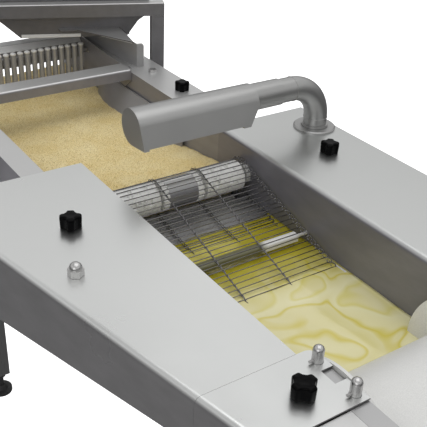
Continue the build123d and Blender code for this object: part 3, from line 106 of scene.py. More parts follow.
def set_stops(ramp, stops):
    """Give a colour ramp its positions and colours."""
    ramp.elements[0].position = stops[0][0]
    ramp.elements[1].position = stops[-1][0]
    for position, colour in stops[1:-1]:
        ramp.elements.new(position)
    for element, (position, colour) in zip(ramp.elements, stops):
        element.color = (*colour, 1)


def add_world():
    """A bright ceiling over a dark surround, white where the camera looks straight at it."""
    world = bpy.data.worlds.new("studio")
    bpy.context.scene.world = world
    world.use_nodes = True
    tree = world.node_tree
    tree.nodes.clear()
    place = tree.nodes.new("ShaderNodeTexCoord")
    split = tree.nodes.new("ShaderNodeSeparateXYZ")
    ramp = tree.nodes.new("ShaderNodeValToRGB")
    sky = tree.nodes.new("ShaderNodeBackground")
    plain = tree.nodes.new("ShaderNodeBackground")
    rays = tree.nodes.new("ShaderNodeLightPath")
    choose = tree.nodes.new("ShaderNodeMixShader")
    out = tree.nodes.new("ShaderNodeOutputWorld")
    span = tree.nodes.new("ShaderNodeMapRange")
    span.inputs["From Min"].default_value = -1
    tree.links.new(place.outputs["Generated"], split.inputs[0])
    tree.links.new(split.outputs["Z"], span.inputs["Value"])
    tree.links.new(span.outputs[0], ramp.inputs[0])
    tree.links.new(ramp.outputs[0], sky.inputs[0])
    tree.links.new(rays.outputs["Is Camera Ray"], choose.inputs[0])
    tree.links.new(sky.outputs[0], choose.inputs[1])
    tree.links.new(plain.outputs[0], choose.inputs[2])
    tree.links.new(choose.outputs[0], out.inputs[0])
    set_stops(ramp.color_ramp, [(position, (level, level, level)) for position, level in SKY_LEVELS])
    plain.inputs["Color"].default_value = (1, 1, 1, 1)


def add_area_light(name, place, towards, size, power):
    """A rectangular lamp, with places in metres and power in watts."""
    data = bpy.data.lights.new(name, "AREA")
    data.shape = "RECTANGLE"
    data.size, data.size_y = size
    data.energy = power
    light = bpy.data.objects.new(name, data)
    light.location = place
    light.rotation_euler = (Vector(towards) - Vector(place)).to_track_quat("-Z", "Y").to_euler()
    bpy.context.scene.collection.objects.link(light)


def add_stage():
    """A plain pale floor and three soft lamps."""
    mesh = bpy.data.meshes.new("floor")
    corners = [(x * FLOOR_HALF, y * FLOOR_HALF, 0) for x, y in ((-1, -1), (1, -1), (1, 1), (-1, 1))]
    mesh.from_pydata(corners, [], [(0, 1, 2, 3)])
    floor = bpy.data.objects.new("floor", mesh)
    bpy.context.scene.collection.objects.link(floor)
    finish = bpy.data.materials.new("pale_floor")
    finish.use_nodes = True
    shader = finish.node_tree.nodes["Principled BSDF"]
    shader.inputs["Base Color"].default_value = (0.93, 0.93, 0.93, 1)
    shader.inputs["Roughness"].default_value = 0.9
    shader.inputs["Emission Color"].default_value = (1, 1, 1, 1)
    shader.inputs["Emission Strength"].default_value = 1.0
    mesh.materials.append(finish)
    floor.visible_glossy = False
    add_area_light("overhead", (0.25, 0.35, 3.4), (0, 0, 0.8), (2.8, 2.4), 22)
    add_area_light("behind", (-2.4, 2.6, 3.6), (0, 0, 0.9), (2.4, 2.0), 2)
    add_area_light("fill", (2.4, -3.0, 2.2), (0, 0, 0.7), (2.2, 1.6), 15)
    bpy.context.scene.view_settings.view_transform = "Standard"


# Materials


def finish_of(name, metallic=0.0, roughness=0.5, colour=(0.5, 0.5, 0.5)):
    """A new material and its shader."""
    material = bpy.data.materials.new(name)
    material.use_nodes = True
    shader = material.node_tree.nodes["Principled BSDF"]
    shader.inputs["Metallic"].default_value = metallic
    shader.inputs["Roughness"].default_value = roughness
    shader.inputs["Base Color"].default_value = (*colour, 1)
    return material, shader


def node(material, kind, **values):
    made = material.node_tree.nodes.new(kind)
    for name, value in values.items():
        if name in made.inputs:
            made.inputs[name].default_value = value
        else:
            setattr(made, name, value)
    return made


def join(material, start, end):
    material.node_tree.links.new(start, end)


def object_noise(material, scale, detail=3.0, roughness=0.55, stretch=None):
    """Noise on object coordinates, a scale in features per metre."""
    place = node(material, "ShaderNodeTexCoord")
    noise = node(material, "ShaderNodeTexNoise", Scale=scale, Detail=detail, Roughness=roughness)
    if stretch:
        mapping = node(material, "ShaderNodeMapping", Scale=stretch)
        join(material, place.outputs["Object"], mapping.inputs["Vector"])
        join(material, mapping.outputs[0], noise.inputs["Vector"])
    else:
        join(material, place.outputs["Object"], noise.inputs["Vector"])
    return noise


def spread(material, source, low, high, start=0.0, end=1.0):
    """A value carried from one range to another."""
    span = node(material, "ShaderNodeMapRange")
    span.inputs["From Min"].default_value = start
    span.inputs["From Max"].default_value = end
    span.inputs["To Min"].default_value = low
    span.inputs["To Max"].default_value = high
    join(material, source, span.inputs["Value"])
    return span.outputs[0]


def colours(material, source, stops):
    """A value turned into colours, by pairs of position and colour."""
    ramp = node(material, "ShaderNodeValToRGB")
    set_stops(ramp.color_ramp, stops)
    join(material, source, ramp.inputs[0])
    return ramp.outputs[0]


def mixed(material, share, low, high, blend="MIX"):
    """Two colours mixed by a share, which is a socket or a number."""
    mix = node(material, "ShaderNodeMix", data_type="RGBA", blend_type=blend)
    if isinstance(share, float):
        mix.inputs["Factor"].default_value = share
    else:
        join(material, share, mix.inputs["Factor"])
    join(material, low, mix.inputs[6])
    join(material, high, mix.inputs[7])
    return mix.outputs[2]


def bump(material, shader, height, depth, strength=1.0):
    """Relief from a value, its depth in metres."""
    bumps = node(material, "ShaderNodeBump", Distance=depth, Strength=strength)
    join(material, height, bumps.inputs["Height"])
    join(material, bumps.outputs[0], shader.inputs["Normal"])


def tint(material, shader, source, stops):
    """The shader's colour taken from a value."""
    join(material, colours(material, source, stops), shader.inputs["Base Color"])


BLAST_SCALE = 2600.0
BLAST_DEPTH = 0.00002
SHADER = "Principled BSDF"


def blasted_steel(name, tone, roughness):
    """Glass-blasted stainless sheet: a fine even grain under faint cloudy handling marks."""
    material, shader = finish_of(name, 1.0, roughness)
    clouds = object_noise(material, 9.0, 4.0)
    grains = object_noise(material, BLAST_SCALE, 2.0)
    low = tuple(c * 0.97 for c in tone)
    high = tuple(c * 1.03 for c in tone)
    tint(material, shader, clouds.outputs["Fac"], ((0.35, low), (0.65, high)))
    join(material, spread(material, clouds.outputs["Fac"], roughness - 0.05, roughness + 0.06, 0.3, 0.7),
         shader.inputs["Roughness"])
    bump(material, shader, grains.outputs["Fac"], BLAST_DEPTH, 0.6)
    return material


def dulled(material, share):
    """A steel whose oxide and washing film scatter part of the light."""
    material.node_tree.nodes[SHADER].inputs["Metallic"].default_value = share
    return material


def sheet_steel(name, top, wall, roughness=0.34, wall_metal=0.35, top_metal=1.0):
    """Blasted sheet with painted light and shade: faces that point up take the bright top tone, upright faces
    the dark wall tone with smears and less metal.
    """
    material, shader = finish_of(name, 1.0, roughness)
    facing = node(material, "ShaderNodeNewGeometry")
    split = node(material, "ShaderNodeSeparateXYZ")
    join(material, facing.outputs["Normal"], split.inputs[0])
    # Share of facing up: level faces get the lit top tone, upright faces the painted shade of the wall tone.
    level = spread(material, split.outputs["Z"], 0.0, 1.0, 0.35, 0.85)
    clouds = object_noise(material, 9.0, 4.0)
    smears = object_noise(material, 55.0, 3.0, 0.6, (0.35, 1, 1))
    bright = colours(material, clouds.outputs["Fac"], ((0.35, tuple(c * 0.97 for c in top)), (0.65, top)))
    shaded_wall_colours = colours(material, smears.outputs["Fac"], ((0.3, tuple(c * 0.86 for c in wall)), (0.7, wall)))
    join(material, mixed(material, level, shaded_wall_colours, bright), shader.inputs["Base Color"])
    join(material, spread(material, level, wall_metal, top_metal), shader.inputs["Metallic"])
    rough = spread(material, clouds.outputs["Fac"], roughness - 0.04, roughness + 0.05, 0.3, 0.7)
    join(material, rough, shader.inputs["Roughness"])
    grains = object_noise(material, BLAST_SCALE, 2.0)
    bump(material, shader, grains.outputs["Fac"], BLAST_DEPTH, 0.6)
    return material


def drawn_steel(name, tone, roughness, stretch):
    """Ground or drawn steel with lines along one way."""
    material, shader = finish_of(name, 1.0, roughness)
    lines = object_noise(material, 900.0, 3.0, 0.6, stretch)
    low = tuple(c * 0.90 for c in tone)
    tint(material, shader, lines.outputs["Fac"], ((0.3, low), (0.7, tone)))
    join(material, spread(material, lines.outputs["Fac"], roughness - 0.07, roughness + 0.09, 0.3, 0.7),
         shader.inputs["Roughness"])
    bump(material, shader, lines.outputs["Fac"], 0.00003, 0.5)
    return material


def moulded(name, colour, roughness, pits=0.00004):
    """Moulded plastic or rubber with a fine pitted skin."""
    material, shader = finish_of(name, 0.0, roughness, colour)
    skin = object_noise(material, 1400.0, 2.0)
    low = tuple(c * 0.82 for c in colour)
    tint(material, shader, skin.outputs["Fac"], ((0.3, low), (0.7, colour)))
    bump(material, shader, skin.outputs["Fac"], pits, 0.5)
    return material


def enamel(name, colour, roughness):
    """Stoved paint with a slight orange peel."""
    material, shader = finish_of(name, 0.0, roughness, colour)
    peel = object_noise(material, 420.0, 2.0)
    low = tuple(c * 0.9 for c in colour)
    tint(material, shader, peel.outputs["Fac"], ((0.3, low), (0.7, colour)))
    shader.inputs["Coat Weight"].default_value = 0.3
    shader.inputs["Coat Roughness"].default_value = 0.15
    bump(material, shader, peel.outputs["Fac"], 0.00006, 0.5)
    return material


def splashed_plastic():
    """White drum plastic, wet and greyed where batter has dried."""
    material, shader = finish_of("drum_white", 0.0, 0.32)
    stains = object_noise(material, 130.0, 5.0, 0.65)
    tint(material, shader, stains.outputs["Fac"],
         ((0.30, (0.40, 0.40, 0.385)), (0.39, (0.80, 0.80, 0.78)), (0.46, (0.95, 0.95, 0.93)),
          (0.7, (1.0, 1.0, 0.985))))
    lumps = object_noise(material, 260.0, 3.0)
    bump(material, shader, lumps.outputs["Fac"], 0.0006, 0.6)
    shader.inputs["Coat Weight"].default_value = 0.4
    shader.inputs["Coat Roughness"].default_value = 0.1
    return material


# Where the slide bar's painted shade and batter film thin out, and where the open pool of batter starts
BAR_SHADE_AND_FILM = (38, 50)
POOL_START = (235, 335)


def bar_finish():
    """White slide bar, clean white at its far end and dark olive elsewhere: a thin batter film where the belt
    drags over it, together with painted shade.
    """
    material, shader = finish_of("slide_bar_look", 0.0, 0.3)
    place = node(material, "ShaderNodeTexCoord")
    split = node(material, "ShaderNodeSeparateXYZ")
    join(material, place.outputs["Object"], split.inputs[0])
    edge = object_noise(material, 90.0, 3.0)
    wobble = spread(material, edge.outputs["Fac"], -0.006, 0.006)
    across = node(material, "ShaderNodeMath", operation="ADD")
    join(material, split.outputs["Y"], across.inputs[0])
    join(material, wobble, across.inputs[1])
    shade_and_film_end, white_start = (put(0, y, 0).y for y in BAR_SHADE_AND_FILM)
    share = spread(material, across.outputs[0], 0.0, 1.0, shade_and_film_end, white_start)
    # Dark olive below the band in y and white above it: painted shade on top of the batter film.
    tint(material, shader, share, ((0.0, (0.16, 0.155, 0.085)), (1.0, (0.82, 0.82, 0.80))))
    skin = object_noise(material, 300.0, 3.0)
    bump(material, shader, skin.outputs["Fac"], 0.0003, 0.5)
    return material


def crumb_finish():
    """Toasted crumbs: pale sand with darker grains, darkest where the bump is low, which is painted shade in
    the hollows.
    """
    material, shader = finish_of("toasted_crumbs", 0.0, 0.95)
    grains = object_noise(material, 620.0, 5.0, 0.72)
    patches = object_noise(material, 16.0, 4.0, 0.6)
    # One noise sets both the bump and the colour, so the darkest stops sit in the bump's hollows: painted
    # shade over the grains' own darker colour.
    grain_shade_colours = colours(material, grains.outputs["Fac"], ((0.33, (0.22, 0.13, 0.045)), (0.42, (0.70, 0.55, 0.26)),
                                                      (0.52, (0.95, 0.80, 0.44)), (0.70, (1.0, 0.94, 0.66))))
    warm = colours(material, patches.outputs["Fac"], ((0.35, (0.93, 0.88, 0.74)), (0.65, (1.0, 1.0, 1.0))))
    join(material, mixed(material, 1.0, grain_shade_colours, warm, "MULTIPLY"), shader.inputs["Base Color"])
    bump(material, shader, grains.outputs["Fac"], 0.0011, 0.9)
    return material


def batter_finish():
    """Wet batter: clear olive oil under the belt, swirled pale yellow in the open pool."""
    material, shader = finish_of("wet_batter", 0.0, 0.10)
    place = node(material, "ShaderNodeTexCoord")
    warp = node(material, "ShaderNodeTexNoise", Scale=6.0, Detail=2.0, Roughness=0.5)
    join(material, place.outputs["Object"], warp.inputs["Vector"])
    carried = mixed(material, 0.22, place.outputs["Object"], warp.outputs["Color"], "ADD")
    swirl = node(material, "ShaderNodeTexNoise", Scale=7.5, Detail=1.5, Roughness=0.45, Distortion=1.1)
    join(material, carried, swirl.inputs["Vector"])
    pale = colours(material, swirl.outputs["Fac"], ((0.28, (0.68, 0.60, 0.16)), (0.40, (0.80, 0.74, 0.37)),
                                                    (0.455, (0.82, 0.76, 0.41)), (0.495, (0.72, 0.62, 0.12)),
                                                    (0.53, (0.83, 0.775, 0.43)), (0.60, (0.87, 0.825, 0.50)),
                                                    (0.635, (0.78, 0.71, 0.26)), (0.68, (0.85, 0.79, 0.46))))
    oil = colours(material, swirl.outputs["Fac"], ((0.3, (0.44, 0.37, 0.012)), (0.7, (0.62, 0.54, 0.05))))
    split = node(material, "ShaderNodeSeparateXYZ")
    join(material, place.outputs["Object"], split.inputs[0])
    clear_end, pale_start = (put(x, 0, 0).x for x in POOL_START)
    where = spread(material, split.outputs["X"], 0.0, 1.0, clear_end, pale_start)
    join(material, mixed(material, where, oil, pale), shader.inputs["Base Color"])
    shader.inputs["Coat Weight"].default_value = 0.3
    shader.inputs["Coat Roughness"].default_value = 0.04
    ripples = object_noise(material, 30.0, 2.0)
    bump(material, shader, ripples.outputs["Fac"], 0.002, 0.25)
    return material


# The sheet steels below are one stainless steel; their top and wall colours differ from part to part to match
# how bright each part looks, which is painted light and shade.
COVER_STEEL = sheet_steel("cover_steel_look", (0.755, 0.765, 0.755), (0.17, 0.167, 0.17), 0.30)
# The far cover is the near cover's steel with a darker top: painted shade.
FAR_COVER_SHADED_STEEL = sheet_steel("far_cover_painted_shade_look", (0.66, 0.67, 0.66), (0.215, 0.21, 0.235), 0.34, 0.2)
TROUGH_STEEL = sheet_steel("trough_steel_look", (0.66, 0.66, 0.655), (0.27, 0.265, 0.285), 0.36, 0.2, 0.7)
TANK_STEEL = sheet_steel("tank_steel_look", (0.50, 0.50, 0.50), (0.24, 0.236, 0.25), 0.34, 0.2, 0.8)
# Pale, mostly non-metallic steel that stays bright in shade: painted light on the rear rail's lip, the
# hopper's skirt lip and the guards' rolled edges.
PAINTED_BRIGHT_STEEL = dulled(drawn_steel("painted_bright_steel_look", (0.86, 0.86, 0.85), 0.42, (1, 0.05, 1)), 0.15)
GUARD_STEEL = sheet_steel("guard_steel_look", (0.62, 0.62, 0.62), (0.34, 0.337, 0.34), 0.40, 0.2, 0.7)
AIR_STEEL = dulled(blasted_steel("air_steel_look", (0.42, 0.42, 0.415), 0.38), 0.9)
FRAME_STEEL = drawn_steel("frame_steel_look", (0.56, 0.56, 0.56), 0.34, (1, 1, 0.02))
HOPPER_STEEL = sheet_steel("hopper_steel_look", (0.66, 0.66, 0.655), (0.180, 0.176, 0.180), 0.36, 0.3, 0.8)
FASTENER_STEEL = drawn_steel("fastener_steel_look", (0.60, 0.595, 0.59), 0.30, (1, 1, 0.6))
# The belt's wire is the fasteners' stainless steel made much darker for the dark surroundings it reflects:
# painted shade.
SHADED_WIRE_STEEL = drawn_steel("belt_wire_painted_shade_look", (0.22, 0.215, 0.22), 0.20, (1, 0.1, 1))
COMB_STEEL = dulled(drawn_steel("comb_steel_look", (0.42, 0.42, 0.425), 0.36, (1, 1, 0.05)), 0.3)
WHITE_PLASTIC = moulded("white_plastic_look", (0.84, 0.84, 0.82), 0.38)
DRUM_WHITE = splashed_plastic()
BAR_WHITE = bar_finish()
KNOB_BLACK = moulded("knob_black_look", (0.0015, 0.0015, 0.0018), 0.20, 0.00002)
KNOB_BLACK.node_tree.nodes[SHADER].inputs["Specular IOR Level"].default_value = 0.06
BELT_RUBBER = moulded("belt_rubber_look", (0.72, 0.72, 0.70), 0.6)
MOTOR_GREY = enamel("motor_grey_look", (0.07, 0.075, 0.085), 0.36)
FOOT_BLACK = moulded("foot_black_look", (0.018, 0.018, 0.018), 0.55)
GREEN_CAP = enamel("green_cap_look", (0.02, 0.22, 0.06), 0.28)
RED_CAP = enamel("red_cap_look", (0.42, 0.012, 0.010), 0.28)
CRUMBS = crumb_finish()
BATTER = batter_finish()

LOOKS = {
    "cover_steel": COVER_STEEL,
    "trough_steel": TROUGH_STEEL,
    "air_steel": AIR_STEEL,
    "frame_steel": FRAME_STEEL,
    "hopper_steel": HOPPER_STEEL,
    "wire_steel": FASTENER_STEEL,
    "white_plastic": WHITE_PLASTIC,
    "knob_plastic": KNOB_BLACK,
    "belt_blue": BELT_RUBBER,
    "motor_grey": MOTOR_GREY,
    "foot_rubber": FOOT_BLACK,
    "button_green": GREEN_CAP,
    "button_red": RED_CAP,
    "batter": BATTER,
    "crumbs": CRUMBS,
}
NODE_LOOKS = {"drum_sleeves": DRUM_WHITE, "far_cover": FAR_COVER_SHADED_STEEL, "comb": COMB_STEEL,
              "slide_bar": BAR_WHITE, "side_guards": GUARD_STEEL, "batter_tank": TANK_STEEL}


def dress_nodes():
    """Every carried-over node gets the finish of its slot."""
    slots = {row["node"]: row["material_slot"] for row in frame["record"]["subparts"]}
    for name, shape in frame["nodes"].items():
        look = NODE_LOOKS.get(name, LOOKS[slots[name]])
        if not shape.data.materials:
            shape.data.materials.append(look)
        for index in range(len(shape.data.materials)):
            shape.data.materials[index] = look


# Pieces


def piece(name, points, faces, look, body, smooth=True):
    """A mesh whose points are already in the row's frame."""
    mesh = bpy.data.meshes.new(name)
    mesh.from_pydata([tuple(p) for p in points], [], faces)
    mesh.validate()
    mesh.materials.append(look)
    if smooth:
        mesh.shade_smooth()
    made = bpy.data.objects.new(name, mesh)
    bpy.context.scene.collection.objects.link(made)
    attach(made, body)
    return made


def new_tree(name, inputs):
    """A Geometry Nodes tree with named inputs, and the identifier of each."""
    tree = bpy.data.node_groups.new(name, "GeometryNodeTree")
    tree.interface.new_socket("Geometry", in_out="INPUT", socket_type="NodeSocketGeometry")
    tree.interface.new_socket("Geometry", in_out="OUTPUT", socket_type="NodeSocketGeometry")
    marks = {}
    for label, kind in inputs:
        marks[label] = tree.interface.new_socket(label, in_out="INPUT", socket_type=kind).identifier
    start = tree.nodes.new("NodeGroupInput")
    end = tree.nodes.new("NodeGroupOutput")
    return tree, start, end, marks


def end_tree(tree, last, end, look, smooth=True):
    """Close a tree: real copies, smooth faces where wanted, and the finish."""
    kinds = ["GeometryNodeRealizeInstances", "GeometryNodeSetShadeSmooth", "GeometryNodeSetMaterial"]
    if not smooth:
        kinds.remove("GeometryNodeSetShadeSmooth")
    for kind in kinds:
        made = tree.nodes.new(kind)
        tree.links.new(last, made.inputs[0])
        last = made.outputs[0]
    made.inputs["Material"].default_value = look
    tree.links.new(last, end.inputs[0])


def grow(name, tree, marks, values, host_mesh, helpers, look, body, replaced=()):
    """Run a tree on a host mesh and keep the result as one plain mesh."""
    host = bpy.data.objects.new(name + "_host", host_mesh)
    bpy.context.scene.collection.objects.link(host)
    modifier = host.modifiers.new("grow", "NODES")
    modifier.node_group = tree
    for label, value in values.items():
        modifier[marks[label]] = value
    bpy.context.view_layer.update()
    graph = bpy.context.evaluated_depsgraph_get()
    mesh = bpy.data.meshes.new_from_object(host.evaluated_get(graph))
    mesh.name = name
    bpy.data.objects.remove(host)
    for helper in helpers:
        bpy.data.objects.remove(helper)
    mesh.materials.clear()
    mesh.materials.append(look)
    made = bpy.data.objects.new(name, mesh)
    bpy.context.scene.collection.objects.link(made)
    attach(made, body)
    if replaced:
        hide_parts(*replaced)
    return made


def helper_curve(name, points, cyclic=False, kind="POLY"):
    """A curve that a tree reads and that is taken away afterwards."""
    data = bpy.data.curves.new(name, "CURVE")
    data.dimensions = "3D"
    line = data.splines.new(kind)
    line.points.add(len(points) - 1)
    for spot, p in zip(line.points, points):
        spot.co = (*p, 1)
    line.use_cyclic_u = cyclic
    if kind == "NURBS":
        line.order_u = 3
        line.use_endpoint_u = not cyclic
        line.resolution_u = 4
    made = bpy.data.objects.new(name, data)
    bpy.context.scene.collection.objects.link(made)
    return made


# Wire belt

BELT_R = 24.8
NOSE_X = 303.0
NOSE_R = 6.5
BELT_SLOPE = math.radians(16.0)
BELT_HALF = 112.5
BELT_COLUMN = 37.5
WIRE_R = 0.70
STRANDS = 64
PITCH = 9.17


def belt_loop():
    """Points of the closed path that the strands follow, in the row's frame."""
    nose_z = DRUM_Z + (BELT_R - NOSE_R - math.sin(BELT_SLOPE) * (NOSE_X - DRUM_X)) / math.cos(BELT_SLOPE)
    apart = math.hypot(NOSE_X - DRUM_X, nose_z - DRUM_Z)
    half = math.asin((BELT_R - NOSE_R) / apart)
    low_slope = math.atan2(DRUM_Z - nose_z, NOSE_X - DRUM_X) - half
    straight = math.sqrt(apart ** 2 - (BELT_R - NOSE_R) ** 2)
    points = []

    def turn(cx, cz, radius, start, end, steps):
        for k in range(steps + 1):
            a = start + (end - start) * k / steps
            points.append(put(cx + radius * math.cos(a), 0, cz + radius * math.sin(a)))
    top = math.pi / 2 - BELT_SLOPE
    low = -math.pi / 2 - low_slope
    turn(NOSE_X, nose_z, NOSE_R, top, low, 24)
    sag = 3.0
    for k in range(1, 24):
        t = k / 24
        x = NOSE_X + NOSE_R * math.cos(low) - t * straight * math.cos(low_slope)
        z = nose_z + NOSE_R * math.sin(low) + t * straight * math.sin(low_slope)
        points.append(put(x, 0, z - sag * math.sin(math.pi * t)))
    turn(DRUM_X, DRUM_Z, BELT_R, low, top - 2 * math.pi, 48)
    return points


def strand_line():
    """One wire of the belt: x along the belt's travel, y across it, z out of its face, in metres."""
    reach = PITCH - 0.3
    rise = 1.3

    def edge(side):
        y = BELT_HALF
        hook = [(0, y - 4, 0), (0, y + 1.5, 0), (0.6, y + 4.6, 0.1), (3.0, y + 6.4, 0.5),
                (reach - 1.0, y + 6.6, rise), (reach + 1.7, y + 5.4, rise),
                (reach + 2.1, y + 2.6, rise * 0.4), (reach + 0.3, y + 0.9, -rise * 0.7),
                (reach - 2.6, y + 0.7, -rise), (reach - 4.6, y + 1.4, -rise * 0.6)]
        return [(px, side * py, pz) for px, py, pz in hook]

    def kink(middle):
        return [(0, middle - 2.6, 0), (0.3, middle - 1.5, 0), (reach * 0.55, middle - 1.2, rise * 0.8),
                (reach + 0.9, middle - 0.9, rise), (reach + 1.5, middle, 0.2),
                (reach + 0.7, middle + 0.9, -rise),
                (reach * 0.5, middle + 1.2, -rise * 0.8), (0.3, middle + 1.5, 0),
                (0, middle + 2.6, 0)]
    points = list(reversed(edge(-1)))
    for middle in (-BELT_COLUMN, BELT_COLUMN):
        points += [(0, middle - 12, 0)] + kink(middle) + [(0, middle + 12, 0)]
    points += edge(1)
    return [tuple(c / 1000 for c in p) for p in points]


def wire_belt_tree(look):
    """One bent strand copied along the belt's path, each a little askew."""
    tree, start, end, marks = new_tree("wire_belt", [
        ("Path", "NodeSocketObject"), ("Strand", "NodeSocketObject"), ("Strands", "NodeSocketInt"),
        ("Wire radius", "NodeSocketFloat"), ("Looseness", "NodeSocketFloat"), ("Seed", "NodeSocketInt")])
    nodes, link = tree.nodes, tree.links.new
    path = nodes.new("GeometryNodeObjectInfo")
    strand = nodes.new("GeometryNodeObjectInfo")
    spots = nodes.new("GeometryNodeCurveToPoints")
    spots.mode = "COUNT"
    link(start.outputs["Path"], path.inputs["Object"])
    link(start.outputs["Strand"], strand.inputs["Object"])
    link(path.outputs["Geometry"], spots.inputs["Curve"])
    link(start.outputs["Strands"], spots.inputs["Count"])
    ring = nodes.new("GeometryNodeCurvePrimitiveCircle")
    ring.inputs["Resolution"].default_value = 6
    link(start.outputs["Wire radius"], ring.inputs["Radius"])
    wire = nodes.new("GeometryNodeCurveToMesh")
    wire.inputs["Fill Caps"].default_value = True
    link(strand.outputs["Geometry"], wire.inputs["Curve"])
    link(ring.outputs["Curve"], wire.inputs["Profile Curve"])
    along = nodes.new("FunctionNodeAlignRotationToVector")
    along.axis = "X"
    along.pivot_axis = "Y"
    link(spots.outputs["Tangent"], along.inputs["Vector"])
    loose = nodes.new("FunctionNodeRandomValue")
    loose.data_type = "FLOAT"
    link(start.outputs["Looseness"], loose.inputs[3])
    opposite = nodes.new("ShaderNodeMath")
    opposite.operation = "MULTIPLY"
    opposite.inputs[1].default_value = -1
    link(start.outputs["Looseness"], opposite.inputs[0])
    link(opposite.outputs[0], loose.inputs[2])
    link(start.outputs["Seed"], loose.inputs["Seed"])
    skew = nodes.new("ShaderNodeCombineXYZ")
    link(loose.outputs[1], skew.inputs["Z"])
    skewed = nodes.new("FunctionNodeEulerToRotation")
    link(skew.outputs[0], skewed.inputs[0])
    turned = nodes.new("FunctionNodeRotateRotation")
    turned.rotation_space = "LOCAL"
    link(along.outputs[0], turned.inputs[0])
    link(skewed.outputs[0], turned.inputs[1])
    copies = nodes.new("GeometryNodeInstanceOnPoints")
    link(spots.outputs["Points"], copies.inputs["Points"])
    link(wire.outputs[0], copies.inputs["Instance"])
    link(turned.outputs[0], copies.inputs["Rotation"])
    end_tree(tree, copies.outputs[0], end, look)
    return tree, marks


def seed_mesh(name):
    """The single point that a tree starts from when it needs no surface."""
    mesh = bpy.data.meshes.new(name)
    mesh.from_pydata([(0, 0, 0)], [], [])
    return mesh


def add_wire_belt():
    """The bent strands in place of the plain ones."""
    path = helper_curve("belt_path", belt_loop(), cyclic=True)
    strand = helper_curve("belt_strand", strand_line(), kind="NURBS")
    tree, marks = wire_belt_tree(SHADED_WIRE_STEEL)
    values = {"Path": path, "Strand": strand, "Strands": STRANDS, "Wire radius": WIRE_R / 1000,
              "Looseness": 0.006, "Seed": 5}
    grow("wire_belt", tree, marks, values, seed_mesh("belt_seed"), [path, strand], SHADED_WIRE_STEEL, "base",
         ("belt_carrying_run", "belt_return_run", "belt_turns"))


# Batter and crumbs


def heap(name, xs, ys, height, bottom, look):
    """A closed body with a shaped top over a rectangular grid, and a bottom of its own."""
    points = []
    faces = []
    rows = len(ys)
    for x in xs:
        for y in ys:
            points.append(put(x, y, height(x, y)))
    for x in xs:
        for y in ys:
            points.append(put(x, y, bottom(x, y)))
    under = len(xs) * rows

    def spot(i, j):
        return i * rows + j
    for i in range(len(xs) - 1):
        for j in range(rows - 1):
            a, b, c, d = spot(i, j), spot(i + 1, j), spot(i + 1, j + 1), spot(i, j + 1)
            faces.append((a, b, c, d))
            faces.append((under + d, under + c, under + b, under + a))
    for i in range(len(xs) - 1):
        for j, turn in ((0, False), (rows - 1, True)):
            a, b = spot(i, j), spot(i + 1, j)
            quad = (a, under + a, under + b, b)
            faces.append(tuple(reversed(quad)) if turn else quad)
    for j in range(rows - 1):
        for i, turn in ((0, True), (len(xs) - 1, False)):
            a, b = spot(i, j), spot(i, j + 1)
            quad = (a, under + a, under + b, b)
            faces.append(tuple(reversed(quad)) if turn else quad)
    return piece(name, points, faces, look, "base")


def steps(start, end, count):
    """Evenly spaced values, both ends included."""
    return [start + (end - start) * k / count for k in range(count + 1)]


BATTER_Z = -91.0
BATTER_START = 132.0
BATTER_END = 629.4
BATTER_SIDES = (-127, 124.6)


def tank_floor(x):
    """Height of the tank's floor: a slope from its lip, then level."""
    lip_x, lip_z, low_x, low_z = 86.3, -82.0, 320.0, -127.0
    if x >= low_x:
        return low_z
    return lip_z + (low_z - lip_z) * (x - lip_x) / (low_x - lip_x)


def add_batter():
    """Batter with slow waves, drawn up at its edges."""
    def top(x, y):
        edge = 0.9 * math.exp(-(124 - abs(y)) / 3)
        lap = 0.35 * math.sin(x / 17 + y / 23) + 0.3 * math.sin(y / 11 - x / 31)
        return BATTER_Z + edge + lap

    def under(x, y):
        return min(tank_floor(x) + 0.3, BATTER_Z - 0.6)
    xs, ys = steps(BATTER_START, BATTER_END, 120), steps(*BATTER_SIDES, 60)
    pool = heap("batter_surface", xs, ys, top, under, BATTER)
    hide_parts("batter_pool")


CRUMB_BOTTOM = -98.7
CRUMB_ENDS = (-604.0, 36.5)
CRUMB_SIDES = (-179.3, 124.6)
CRUMB_KNOTS = ((-604, -84), (-430, -82), (-300, -79), (-124, -76), (-60, -69), (-9, -62), (20, -61),
               (36.5, -63))
GRAIN_ENDS = (-596, 30)
GRAIN_SIDES = (-176, 121)
GRAIN_CELLS = (60, 30)


def crumb_level(x, y):
    """Height of the crumbs: a falling carpet with soft dunes, banked against the deflectors."""
    for (x0, z0), (x1, z1) in zip(CRUMB_KNOTS, CRUMB_KNOTS[1:]):
        if x <= x1:
            t = (x - x0) / (x1 - x0)
            z = z0 + (z1 - z0) * t * t * (3 - 2 * t)
            break
    calm = min(1.0, max(0.0, (-20 - x) / 120))
    dune = 3.2 * math.sin(x / 47 + 0.9 * math.sin(y / 60)) + 2.2 * math.sin(y / 38 + x / 71)
    lump = 0.8 * math.sin(x / 9.3 + math.sin(y / 13)) * math.sin(y / 8.1 + 0.6 * math.sin(x / 17))
    return z + calm * (dune + lump) + 0.25 * math.sin(x / 3.1 + y / 4.3)


